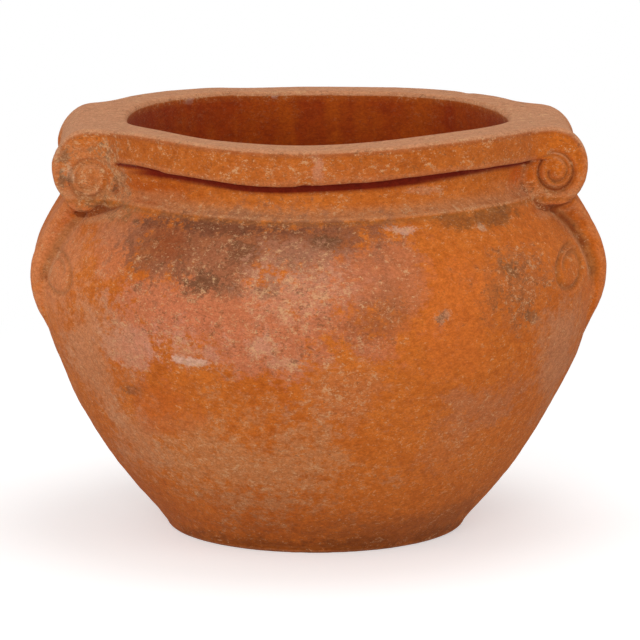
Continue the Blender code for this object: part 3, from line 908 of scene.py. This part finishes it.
# uneven fields that colour and tooth of the clay share
def fieldGroup():
    labels = ["Rag0", "Rag1", "Rag2", "Torn", "Cluster", "Fleck", "Pit", "Grain", "Broad", "Damp", "Tooth"]
    tree, given, wanted = newGroup("clayFields", [("Vector", "NodeSocketVector")], labels)

    def channels(vector, scale, detail, rough):
        made = addNode(tree, "ShaderNodeTexNoise", {"Vector": vector, "Scale": scale, "Detail": detail,
                                                    "Roughness": rough})
        return addNode(tree, "ShaderNodeSeparateColor", {0: made.outputs["Color"]}).outputs

    def stretched(scale):
        return addNode(tree, "ShaderNodeMapping", {"Vector": given["Vector"], "Scale": scale}).outputs[0]

    def mixed(a, b, share):
        return calc(tree, "MULTIPLY_ADD", b, share, calc(tree, "MULTIPLY", a, 1 - share))

    def centred(value, gain):
        return calc(tree, "MULTIPLY_ADD", value, gain, -gain / 2)

    coarse = channels(given["Vector"], 26.0, 4.0, 0.62)
    torn = channels(given["Vector"], 120.0, 5.0, 0.72)
    wiped = stretched((1.0, 1.0, 1.6))
    crumb = channels(wiped, 180.0, 6.0, 0.84)
    grit = channels(wiped, 480.0, 3.0, 0.80)
    broad = channels(given["Vector"], 8.0, 3.0, 0.55)
    runs = channels(stretched((60.0, 60.0, 6.0)), 1.0, 4.0, 0.60)
    fields = {
        "Rag0": centred(coarse[0], 2.4),
        "Rag1": centred(coarse[1], 2.4),
        "Rag2": centred(coarse[2], 2.4),
        "Torn": calc(tree, "ADD", centred(torn[0], 2.4), centred(crumb[2], 2.2)),
        "Cluster": torn[1],
        "Fleck": calc(tree, "ADD", mixed(crumb[0], grit[0], 0.4), centred(torn[1], 0.3)),
        "Pit": calc(tree, "ADD", mixed(crumb[1], grit[2], 0.4), centred(torn[2], 0.3)),
        "Grain": mixed(crumb[1], grit[1], 0.4),
        "Broad": broad[0],
        "Damp": runs[0],
    }
    fields["Tooth"] = calc(tree, "MULTIPLY_ADD", grit[0], 0.6, calc(tree, "MULTIPLY", crumb[0], 0.8))
    for label, value in fields.items():
        tree.links.new(value, wanted[label])
    return tree


# a ragged patch round a place on the pot
def patchGroup():
    sockets = [("Vector", "NodeSocketVector"), ("Centre", "NodeSocketVector"), ("Size", "NodeSocketVector"),
               ("Rag", "NodeSocketFloat"), ("Torn", "NodeSocketFloat"), ("Ragged", "NodeSocketFloat"),
               ("Broken", "NodeSocketFloat"), ("Edge", "NodeSocketFloat")]
    tree, given, wanted = newGroup("ragPatch", sockets, ["Mask"])
    away = addNode(tree, "ShaderNodeVectorMath", {0: given["Vector"], 1: given["Centre"]}, operation="SUBTRACT")
    scaled = addNode(tree, "ShaderNodeVectorMath", {0: away.outputs[0], 1: given["Size"]}, operation="DIVIDE")
    length = addNode(tree, "ShaderNodeVectorMath", {0: scaled.outputs[0]}, operation="LENGTH")
    reach = calc(tree, "MULTIPLY_ADD", given["Rag"], given["Ragged"], length.outputs["Value"])
    reach = calc(tree, "MULTIPLY_ADD", given["Torn"], given["Broken"], reach)
    low = calc(tree, "ADD", 1.0, given["Edge"])
    high = calc(tree, "SUBTRACT", 1.0, given["Edge"])
    tree.links.new(spread(tree, reach, low, high), wanted["Mask"])
    return tree


clayGroups = {"fields": fieldGroup(), "patch": patchGroup()}

# stains, washes, crusts and salts, and some patches of painted shade and painted rim light: place and reach in
# millimetres, colour, strength, how ragged, broken and soft the edge is, and how many pale flecks (fewer than around
# it, if negative) and dark pits lie in it
patches = {
    "pinkWash": ((-62, -196, 192), (96, 70, 40), (0.570, 0.180, 0.086), 0.82, (1.5, 1.0, 0.30), (0.62, 0.55)),
    "pinkRight": ((2, -196, 222), (30, 34, 26), (0.550, 0.180, 0.092), 0.55, (1.2, 1.0, 0.35), (0.45, 0.25)),
    "mauveRight": ((44, -190, 221), (33, 34, 27), (0.465, 0.150, 0.070), 0.72, (0.9, 0.8, 0.22), (0.55, 0.20)),
    "pinkLeft": ((-150, -121, 226), (17, 34, 20), (0.570, 0.175, 0.075), 0.60, (1.2, 0.8, 0.40), (0.20, 0.0)),
    "veilLeft": ((-146, -106, 242), (32, 34, 15), (0.450, 0.160, 0.072), 0.62, (1.0, 0.8, 0.45), (0.20, 0.20)),
    "clearMiddle": ((-92, -178, 190), (34, 30, 16), (0.600, 0.175, 0.080), 0.50, (1.6, 1.0, 0.40), (0, 0)),
    "greyBloom": ((-66, -174, 238), (88, 60, 25), (0.335, 0.115, 0.052), 0.85, (1.4, 1.1, 0.38), (0.42, 0.60)),
    "greyLeft": ((-116, -147, 233), (32, 34, 20), (0.300, 0.096, 0.042), 0.70, (1.3, 1.3, 0.38), (0.50, 0.70)),
    "greyUp": ((-12, -177, 246), (50, 40, 11), (0.275, 0.090, 0.040), 0.70, (1.4, 1.4, 0.40), (0.30, 0.60)),
    "sootLine": ((-78, -158, 250), (58, 40, 4), (0.130, 0.040, 0.020), 0.60, (1.2, 1.4, 0.45), (0, 0.30)),
    "sootA": ((-82, -182, 215), (15, 14, 6), (0.110, 0.050, 0.025), 0.60, (0.8, 2.0, 0.40), (0, 0.70)),
    "sootB": ((-40, -196, 213), (9, 10, 7), (0.110, 0.050, 0.025), 0.55, (0.8, 2.0, 0.40), (0, 0.70)),
    "sootC": ((-55, -178, 235), (11, 12, 8), (0.130, 0.050, 0.022), 0.55, (0.8, 2.0, 0.40), (0, 0.70)),
    "sootD": ((-21, -189, 231), (11, 12, 8), (0.130, 0.055, 0.026), 0.50, (0.8, 2.0, 0.40), (0, 0.70)),
    "sootE": ((0, -180, 243), (10, 10, 5), (0.110, 0.050, 0.020), 0.65, (0.8, 1.8, 0.40), (0, 0.70)),
    "rustLeft": ((-112, -149, 238), (14, 18, 10), (0.300, 0.066, 0.016), 0.70, (1.0, 1.2, 0.40), (0, 0.10)),
    "creamMiddle": ((-24, -201, 208), (30, 26, 21), (0.590, 0.265, 0.160), 0.42, (1.4, 2.2, 0.45), (0.90, 0.20)),
    "creamUp": ((-25, -188, 232), (26, 20, 12), (0.560, 0.240, 0.140), 0.40, (1.4, 2.2, 0.45), (0.70, 0)),
    "brownTail": ((46, -198, 200), (20, 22, 18), (0.370, 0.118, 0.048), 0.65, (1.2, 1.2, 0.40), (0.70, 0.50)),
    "brownSweep": ((26, -204, 186), (28, 20, 13), (0.360, 0.098, 0.030), 0.55, (1.4, 1.2, 0.45), (0.20, 0.20)),
    "limeLeft": ((-132, -155, 159), (24, 30, 15), (0.590, 0.245, 0.150), 0.72, (1.3, 1.0, 0.28), (0.60, 0.15)),
    "limeNext": ((-97, -180, 165), (22, 22, 15), (0.600, 0.280, 0.190), 0.45, (1.3, 1.6, 0.40), (0.90, 0.20)),
    "limeDash": ((-95, -180, 157), (13, 14, 3), (0.680, 0.410, 0.310), 0.80, (0.5, 0.8, 0.30), (0.60, 0.20)),
    "limeSpot": ((-45, -201, 171), (9, 12, 7), (0.640, 0.330, 0.220), 0.45, (0.8, 1.4, 0.40), (0.90, 0.20)),
    "limeLow": ((-25, -202, 159), (13, 12, 4), (0.620, 0.310, 0.200), 0.45, (0.8, 1.6, 0.40), (0.90, 0.20)),
    "chipDark": ((-136, -139, 127), (9, 14, 4.5), (0.150, 0.055, 0.025), 0.65, (0.5, 1.6, 0.40), (0, 0.60)),
    "crustRight": ((139, -151, 203), (38, 36, 22), (0.420, 0.150, 0.060), 0.38, (1.5, 1.6, 0.50), (0.75, 0.85)),
    "blotRight": ((121, -164, 203), (8, 10, 7), (0.200, 0.090, 0.035), 0.65, (0.6, 2.0, 0.40), (0.40, 0.50)),
    "blotUp": ((133, -147, 216), (9, 12, 6), (0.200, 0.085, 0.032), 0.65, (0.6, 2.2, 0.40), (0.40, 0.50)),
    "blotLow": ((151, -141, 182), (6, 8, 5), (0.230, 0.100, 0.040), 0.55, (0.6, 2.2, 0.40), (0.80, 0.50)),
    "ridgeRight": ((115, -127, 251), (34, 30, 6), (0.260, 0.085, 0.019), 0.74, (1.2, 1.4, 0.45), (0.42, 0.70)),
    # dust and painted rim light along the pot's right edge
    "dustAndRimLightRight": ((176, -100, 140), (22, 50, 50), (0.500, 0.215, 0.108), 0.62, (1.2, 0.8, 0.50), (0.40, 0.10)),
    "dustRight": ((121, -147, 116), (32, 40, 20), (0.470, 0.165, 0.072), 0.45, (1.5, 1.4, 0.50), (0.40, 0.30)),
    "clearRight": ((90, -184, 190), (34, 40, 46), (0.625, 0.152, 0.024), 0.65, (1.2, 0.8, 0.50), (-0.80, 0)),
    "chipRight": ((84, -188, 191), (6, 8, 4), (0.600, 0.340, 0.210), 0.50, (0.5, 1.6, 0.40), (0.90, 0.90)),
    "saltLow": ((-63, -159, 76), (70, 60, 40), (0.550, 0.240, 0.100), 0.55, (1.6, 1.8, 0.55), (0.70, 0.10)),
    "saltLeft": ((-133, -110, 82), (26, 40, 30), (0.530, 0.225, 0.105), 0.50, (1.4, 1.2, 0.50), (0.30, 0)),
    "saltMiddle": ((15, -197, 134), (34, 24, 24), (0.540, 0.195, 0.080), 0.34, (1.6, 2.0, 0.50), (0.75, 0)),
    "saltRight": ((99, -149, 95), (38, 40, 30), (0.480, 0.165, 0.065), 0.30, (1.6, 1.8, 0.50), (0.50, 0.20)),
    "clearLeft": ((-117, -149, 114), (26, 30, 20), (0.530, 0.115, 0.017), 0.60, (1.2, 1.0, 0.45), (-0.60, 0)),
    "smear": ((-4, -174, 296), (4, 10, 8), (0.640, 0.380, 0.280), 0.32, (0.6, 1.4, 0.50), (0.60, 0)),
    "fasciaPink": ((-14, -174, 291), (48, 20, 8), (0.520, 0.136, 0.042), 0.20, (1.4, 1.2, 0.50), (0.55, 0.35)),
    "neckDeep": ((-112, -112, 269), (44, 40, 9), (0.430, 0.080, 0.005), 0.72, (1.0, 1.0, 0.50), (0.40, 0.30)),
    "neckSmear": ((73, -142, 274), (14, 12, 2.5), (0.600, 0.300, 0.180), 0.32, (0.5, 1.8, 0.50), (0.80, 0)),
    "shoulderSmear": ((54, -165, 249), (10, 10, 2.5), (0.680, 0.400, 0.290), 0.55, (0.5, 1.5, 0.40), (0.80, 0.20)),
    "shoulderChip": ((113, -136, 246), (4, 7, 3), (0.640, 0.380, 0.230), 0.55, (0.5, 1.4, 0.40), (0.80, 0.50)),
    # painted shade darkening the foot towards the ground
    "footShade": ((70, -102, 14), (110, 70, 17), (0.300, 0.078, 0.018), 0.55, (1.0, 0.8, 0.50), (0, 0.20)),
    "footLight": ((-52, -138, 44), (48, 40, 10), (0.500, 0.190, 0.070), 0.40, (1.2, 1.6, 0.50), (0.50, 0)),
    "dustLeftLug": ((-192, -60, 205), (26, 60, 60), (0.640, 0.225, 0.092), 0.62, (1.3, 1.0, 0.50), (0.40, 0)),
    "dustLeftRoll": ((-172, -68, 274), (30, 14, 30), (0.580, 0.205, 0.070), 0.58, (1.2, 1.4, 0.50), (0.80, 0.50)),
    "creamRoll": ((-183, -68, 276), (4, 6, 5), (0.640, 0.420, 0.260), 0.70, (0.5, 1.8, 0.40), (0.60, 0)),
    "blotRoll": ((-189, -67, 288), (5, 6, 5), (0.230, 0.130, 0.070), 0.65, (0.5, 2.0, 0.40), (0, 0.50)),
    "blotRollLow": ((-189, -67, 270), (4, 6, 5), (0.180, 0.090, 0.045), 0.70, (0.5, 2.0, 0.40), (0, 0.50)),
    "blotRollUp": ((-162, -69, 294), (6, 8, 4), (0.250, 0.130, 0.065), 0.55, (0.5, 2.2, 0.40), (0, 0.50)),
    "crustCheek": ((-151, -80, 291), (7, 16, 9), (0.520, 0.260, 0.120), 0.50, (0.8, 2.6, 0.60), (1.00, 0.90)),
    "crustEdge": ((-146, -84, 272), (6, 16, 12), (0.540, 0.280, 0.130), 0.50, (0.8, 2.6, 0.60), (1.00, 0.90)),
    "lipLeft": ((-96, 104, 305), (4, 6, 3), (0.740, 0.540, 0.420), 0.70, (0.4, 1.2, 0.40), (0.60, 0)),
    "lipMiddle": ((-30, 139, 305), (3, 6, 3), (0.740, 0.540, 0.420), 0.70, (0.4, 1.2, 0.40), (0.60, 0)),
    "crustNotch": ((-155, -80, 252), (22, 30, 5), (0.330, 0.140, 0.040), 0.60, (0.8, 2.2, 0.50), (0.70, 0.80)),
    "webRed": ((150, -78, 273), (13, 20, 10), (0.560, 0.092, 0.005), 0.80, (0.8, 1.2, 0.50), (0.50, 0.30)),
    # dust and painted rim light along the pot's left edge
    "dustAndRimLightLeft": ((-168, -112, 138), (26, 50, 50), (0.560, 0.250, 0.125), 0.55, (1.3, 1.0, 0.50), (0.40, 0.10)),
    # painted shade along the very bottom of the foot
    "footShadeLow": ((0, -100, 2), (140, 70, 9), (0.180, 0.040, 0.005), 0.60, (0.8, 0.8, 0.50), (0, 0)),
    "lipRight": ((118, 122, 305), (9, 9, 4), (0.700, 0.480, 0.360), 0.40, (0.4, 1.8, 0.40), (0.60, 0)),
    "crustRoll": ((160, -70, 260), (20, 20, 10), (0.480, 0.180, 0.060), 0.25, (0.8, 1.6, 0.50), (0.85, 0.60)),
    "glowRoll": ((174, -68, 274), (24, 14, 28), (0.640, 0.160, 0.014), 0.55, (0.6, 0.6, 0.55), (0.50, 0.35)),
    "glowStrap": ((206, -52, 205), (16, 40, 34), (0.620, 0.140, 0.014), 0.45, (0.8, 0.8, 0.50), (0, 0)),
    "saltBack": ((60, 190, 120), (95, 60, 46), (0.550, 0.255, 0.120), 0.50, (1.6, 1.8, 0.50), (0.60, 0.10)),
    "greyBack": ((-70, 178, 226), (80, 50, 28), (0.290, 0.100, 0.045), 0.75, (1.5, 1.4, 0.40), (0.60, 0.50)),
    "pinkBack": ((20, 200, 196), (90, 50, 40), (0.580, 0.190, 0.098), 0.65, (1.5, 1.2, 0.40), (0.30, 0.10)),
    "dustSide": ((-195, 60, 120), (50, 70, 44), (0.520, 0.215, 0.100), 0.45, (1.6, 1.6, 0.50), (0.40, 0)),
    "dustFar": ((185, 60, 110), (50, 70, 44), (0.520, 0.215, 0.100), 0.45, (1.6, 1.6, 0.50), (0.40, 0)),
}

firedClay = {
    "deep": (0.490, 0.110, 0.011),
    "bright": (0.590, 0.156, 0.021),
    "dusty": (0.520, 0.225, 0.100),
    "rubbed": (0.565, 0.250, 0.124),
    "worn": (0.600, 0.215, 0.090),
    # painted shadow under the fascia's lower edge
    "creaseShadow": (0.150, 0.005, 0.001),
    "shadow": (0.250, 0.048, 0.008),
    "olive": (0.300, 0.105, 0.022),
    "paleFleck": (0.720, 0.400, 0.195),
    "darkPit": (0.150, 0.052, 0.018),
    "damp": (0.340, 0.040, 0.001),
    "dampBright": (0.460, 0.080, 0.002),
    # painted shade for the inside's left and right walls
    "insideSideShade": (0.250, 0.016, 0.0005),
    "drift": (0.36, 0.64),      # from deep to bright
    "hollows": (-0.05, -0.45, 0.32),    # millimetres proud where a coat starts and where it is full, and its share
    "edges": (0.12, 0.50, 0.35),
    "depths": (-0.40, -0.90, 0.85),
    "seamDust": 0.70,
    "seamDirtAndShade": 0.75,
    "seamSpeck": 0.8,
    "brow": 0.35,               # shade along the top edge of the fascia
    "browZone": (0.290, 0.298),
    "ledge": (0.18, 0.60),      # how far a top faces up where rubbing starts and where it is full
    "ledgeZone": (0.272, 0.290),
    "creaseShadowShare": 0.95,
    # where the painted shade on the inside's sides starts and is full, and its share
    "insideShadeReach": (0.050, 0.140, 0.55),
    "grain": ((0.78, 0.72, 0.66), (1.22, 1.27, 1.28)),
    "flecks": 0.34,             # pale flecks and dark pits that lie all over
    "pits": 0.12,
    "fleckZone": (0.590, 0.675),
    "fleckShare": 0.70,
    "pitZone": (0.575, 0.675),
    "pitShare": 0.65,
    "speckGain": 0.11,
    "toothDepth": 0.0012,
    "rough": 0.95,
    "dampSmooth": -0.30,
    "shine": {"Specular IOR Level": 0.12, "Sheen Weight": 0.08, "Sheen Roughness": 0.45,
              "Sheen Tint": (1.0, 0.80, 0.62, 1)},
    "zone": ((-1, -1, 0.010), (1, 1, 0.284)),
}
rubbedClay = {**firedClay, "deep": (0.455, 0.104, 0.012), "bright": (0.550, 0.146, 0.022), "flecks": 0.55,
              "pits": 0.42, "zone": ((-1, -1, 0.280), (1, 1, 0.4))}
scrollLook = {**firedClay, "flecks": 0.50, "pits": 0.32, "ledge": (0.05, 0.42),
              "zone": ((-1, -0.1, 0.255), (1, 0.1, 0.4))}
floorLook = {**firedClay, "zone": ((-1, -1, -0.1), (1, 1, 0.020))}


def patchesNear(zone):
    found = []
    for patch in patches.values():
        low, high = [[(c + sign * 1.6 * r) / 1000 for c, r in zip(patch[0], patch[1])] for sign in (-1, 1)]
        if all(a < d and b > c for a, b, c, d in zip(low, high, *zone)):
            found.append(patch)
    return found


def clayMaterial(name, look):
    material = bpy.data.materials.new(name)
    material.use_nodes = True
    tree = material.node_tree
    shader = tree.nodes["Principled BSDF"]
    place = addNode(tree, "ShaderNodeTexCoord").outputs["Object"]
    axes = addNode(tree, "ShaderNodeSeparateXYZ", {0: place}).outputs
    marks = {key: addNode(tree, "ShaderNodeAttribute", attribute_name=key).outputs["Fac"]
             for key in ("inside", "stand", "up", "creaseShadow", "dust", "dirtAndShade")}
    fields = addNode(tree, "ShaderNodeGroup", {"Vector": place}, node_tree=clayGroups["fields"]).outputs

    def colour(key):
        return (*look[key], 1)

    def times(a, b):
        return calc(tree, "MULTIPLY", a, b)

    def plus(a, gain, b):
        return calc(tree, "MULTIPLY_ADD", a, gain, b)

    def larger(a, b):
        return calc(tree, "MAXIMUM", a, b)

    def laid(under, mask, share, tint):
        return blended(tree, times(mask, share), under, colour(tint))

    def coat(under, value, key, tint):
        start, full, share = look[key]
        return laid(under, spread(tree, value, start, full), share, tint)

    drift = plus(fields["Cluster"], 0.5, times(fields["Broad"], 0.5))
    skinColour = blended(tree, spread(tree, drift, *look["drift"]), colour("deep"), colour("bright"))
    flecks, pits = times(fields["Broad"], 2 * look["flecks"]), look["pits"]
    for count, (at, reach, tint, strength, shape, (fleck, pit)) in enumerate(patchesNear(look["zone"])):
        mask = addNode(tree, "ShaderNodeGroup", {
            "Vector": place, "Centre": [v / 1000 for v in at], "Size": [v / 1000 for v in reach],
            "Rag": fields["Rag%d" % (count % 3)], "Torn": fields["Torn"], "Ragged": shape[0], "Broken": shape[1],
            "Edge": shape[2]}, node_tree=clayGroups["patch"]).outputs["Mask"]
        skinColour = blended(tree, times(mask, strength), skinColour, (*tint, 1))
        if fleck < 0:
            flecks = times(flecks, plus(mask, fleck, 1.0))
        if fleck > 0:
            flecks = larger(flecks, times(mask, fleck))
        if pit:
            pits = larger(pits, times(mask, pit))

    # dust in hollows, wear on edges, dust along the seams, dirt with painted shade in the seams, and painted shade in
    # the deepest hollows
    stand = calc(tree, "ADD", marks["stand"], times(fields["Torn"], 0.14))
    skinColour = coat(skinColour, stand, "hollows", "dusty")
    skinColour = coat(skinColour, stand, "edges", "worn")
    thick = spread(tree, plus(fields["Torn"], 0.3, fields["Broad"]), 0.20, 0.60)
    dust = times(marks["dust"], thick)
    skinColour = laid(skinColour, dust, look["seamDust"], "dusty")
    # dirt with painted shade in the seams, valleys and grooves
    skinColour = laid(skinColour, marks["dirtAndShade"], look["seamDirtAndShade"], "olive")
    flecks = larger(flecks, times(dust, look["seamSpeck"]))
    pits = larger(pits, times(marks["dirtAndShade"], look["seamSpeck"]))
    skinColour = coat(skinColour, marks["stand"], "depths", "shadow")

    # the rim's rubbed top, painted shade along the fascia's top edge, the painted shadow line under the fascia, and
    # the damp inside with painted shade towards its sides
    brow = times(spread(tree, marks["up"], 0.0, 0.10), spread(tree, axes["Z"], *look["browZone"]))
    skinColour = laid(skinColour, brow, look["brow"], "shadow")
    ledge = times(spread(tree, marks["up"], *look["ledge"]), spread(tree, axes["Z"], *look["ledgeZone"]))
    ledge = times(ledge, plus(fields["Cluster"], 0.40, 0.70))
    skinColour = blended(tree, ledge, skinColour, colour("rubbed"))
    # painted shadow line under the fascia and along the crease at its left end
    skinColour = laid(skinColour, marks["creaseShadow"], look["creaseShadowShare"], "creaseShadow")
    damp = spread(tree, plus(fields["Rag1"], 0.45, fields["Damp"]), 0.25, 0.80)
    dampAndShadeColour = blended(tree, damp, colour("damp"), colour("dampBright"))
    # painted shade: the inside grows darker towards its left and right sides
    dampAndShadeColour = coat(dampAndShadeColour, calc(tree, "ABSOLUTE", axes["X"]), "insideShadeReach", "insideSideShade")
    skinColour = blended(tree, marks["inside"], skinColour, dampAndShadeColour)

    # grain, flecks and pits
    grainDark, grainLight = [(*tint, 1) for tint in look["grain"]]
    tone = blended(tree, spread(tree, fields["Grain"], 0.38, 0.62), grainDark, grainLight)
    skinColour = blended(tree, 1.0, skinColour, tone, "MULTIPLY")
    outside = plus(marks["inside"], -0.85, calc(tree, "SUBTRACT", 1.0, marks["creaseShadow"]))
    pale = spread(tree, plus(flecks, look["speckGain"], fields["Fleck"]), *look["fleckZone"])
    dark = spread(tree, plus(pits, look["speckGain"], fields["Pit"]), *look["pitZone"])
    skinColour = laid(skinColour, times(pale, look["fleckShare"]), outside, "paleFleck")
    skinColour = laid(skinColour, times(dark, look["pitShare"]), outside, "darkPit")
    rough = plus(marks["inside"], look["dampSmooth"], look["rough"])
    tooth = plus(dark, -0.30, plus(pale, 0.22, fields["Tooth"]))
    bump = addNode(tree, "ShaderNodeBump", {"Height": tooth, "Strength": 0.5, "Distance": look["toothDepth"]})
    tree.links.new(skinColour, shader.inputs["Base Color"])
    tree.links.new(rough, shader.inputs["Roughness"])
    tree.links.new(bump.outputs["Normal"], shader.inputs["Normal"])
    for socket, value in look["shine"].items():
        shader.inputs[socket].default_value = value
    return material


bodyClay = clayMaterial("bodyClay", firedClay)
rimClay = clayMaterial("rimClay", rubbedClay)
floorClay = clayMaterial("floorClay", floorLook)
scrollClay = clayMaterial("scrollClay", scrollLook)
print("clays mixed")

finishPiece("potFloor", ["floor_slab"], floorClay)
finishPiece("potBowl", ["bowl_wall"], bodyClay)
finishPiece("potBelly", ["belly_ring"], bodyClay)
finishPiece("potNeck", ["neck_collar"], bodyClay)
finishPiece("potRim", ["rim_ring"], rimClay)
for word in ("left", "right"):
    finishPiece(word + "Scroll", [word + "_scroll"], scrollClay)
    for place in ("front", "back"):
        finishPiece(word + "Coil" + place.title(), ["upper_coil_%s_%s" % (word, place)], scrollClay)
        finishPiece(word + "LowCoil" + place.title(), ["lower_coil_%s_%s" % (word, place)],
                    scrollClay)
print("pieces finished")

studio = {
    "sky": 0.58,
    "floorSize": 8.0,
    "floorSeen": (0.80, 0.80, 0.80),
    "floorGlow": 0.42,
    "floorBounce": (0.60, 0.56, 0.53),
    "floorFade": (0.35, 0.85),      # distances where the floor turns white
    "aim": (0, 0, 0.15),
    "lamps": {
        "keyLamp": {"place": (-0.6, -2.9, 0.95), "size": 1.8, "power": 30},
        "leftLamp": {"place": (-2.4, -1.1, 0.60), "size": 1.4, "power": 10},
        "rightLamp": {"place": (2.4, -1.1, 0.60), "size": 1.4, "power": 12},
        "topLamp": {"place": (0.3, 0.2, 2.4), "size": 1.6, "power": 12},
    },
}


def addLamp(name, setup):
    lamp = bpy.data.lights.new(name, "AREA")
    lamp.shape = "DISK"
    lamp.size = setup["size"]
    lamp.energy = setup["power"]
    obj = bpy.data.objects.new(name, lamp)
    obj.location = setup["place"]
    aim = Vector(studio["aim"]) - obj.location
    obj.rotation_euler = aim.to_track_quat("-Z", "Y").to_euler()
    scene.collection.objects.link(obj)


def addStudio():
    world = bpy.data.worlds.new("studio")
    scene.world = world
    world.use_nodes = True
    tree = world.node_tree
    tree.nodes.clear()
    ray = addNode(tree, "ShaderNodeLightPath")
    sky = addNode(tree, "ShaderNodeBackground", {"Color": (1, 1, 1, 1), "Strength": studio["sky"]})
    white = addNode(tree, "ShaderNodeBackground", {"Color": (1, 1, 1, 1), "Strength": 1.0})
    mixed = addNode(tree, "ShaderNodeMixShader", {0: ray.outputs["Is Camera Ray"], 1: sky.outputs[0],
                                                  2: white.outputs[0]})
    addNode(tree, "ShaderNodeOutputWorld", {"Surface": mixed.outputs[0]})

    bm = bmesh.new()
    bmesh.ops.create_grid(bm, x_segments=1, y_segments=1, size=studio["floorSize"])
    ground = asObject(asMesh(bm, "ground"), "ground")
    paper = bpy.data.materials.new("paper")
    paper.use_nodes = True
    tree = paper.node_tree
    tree.nodes.clear()
    ray = addNode(tree, "ShaderNodeLightPath")
    place = addNode(tree, "ShaderNodeTexCoord").outputs["Object"]
    reach = addNode(tree, "ShaderNodeVectorMath", {0: place}, operation="LENGTH").outputs["Value"]
    lit = addNode(tree, "ShaderNodeBsdfDiffuse", {"Color": (*studio["floorSeen"], 1)})
    glow = addNode(tree, "ShaderNodeEmission", {"Strength": studio["floorGlow"]})
    near = addNode(tree, "ShaderNodeAddShader", {0: lit.outputs[0], 1: glow.outputs[0]})
    far = addNode(tree, "ShaderNodeEmission", {"Strength": 1.0})
    seen = addNode(tree, "ShaderNodeMixShader", {0: spread(tree, reach, *studio["floorFade"]), 1: near.outputs[0],
                                                 2: far.outputs[0]})
    bounce = addNode(tree, "ShaderNodeBsdfDiffuse", {"Color": (*studio["floorBounce"], 1)})
    mixed = addNode(tree, "ShaderNodeMixShader", {0: ray.outputs["Is Camera Ray"], 1: bounce.outputs[0],
                                                  2: seen.outputs[0]})
    addNode(tree, "ShaderNodeOutputMaterial", {"Surface": mixed.outputs[0]})
    ground.data.materials.append(paper)
    for name, setup in studio["lamps"].items():
        addLamp(name, setup)


addStudio()
scene.view_settings.view_transform = "Standard"
print("studio lit")
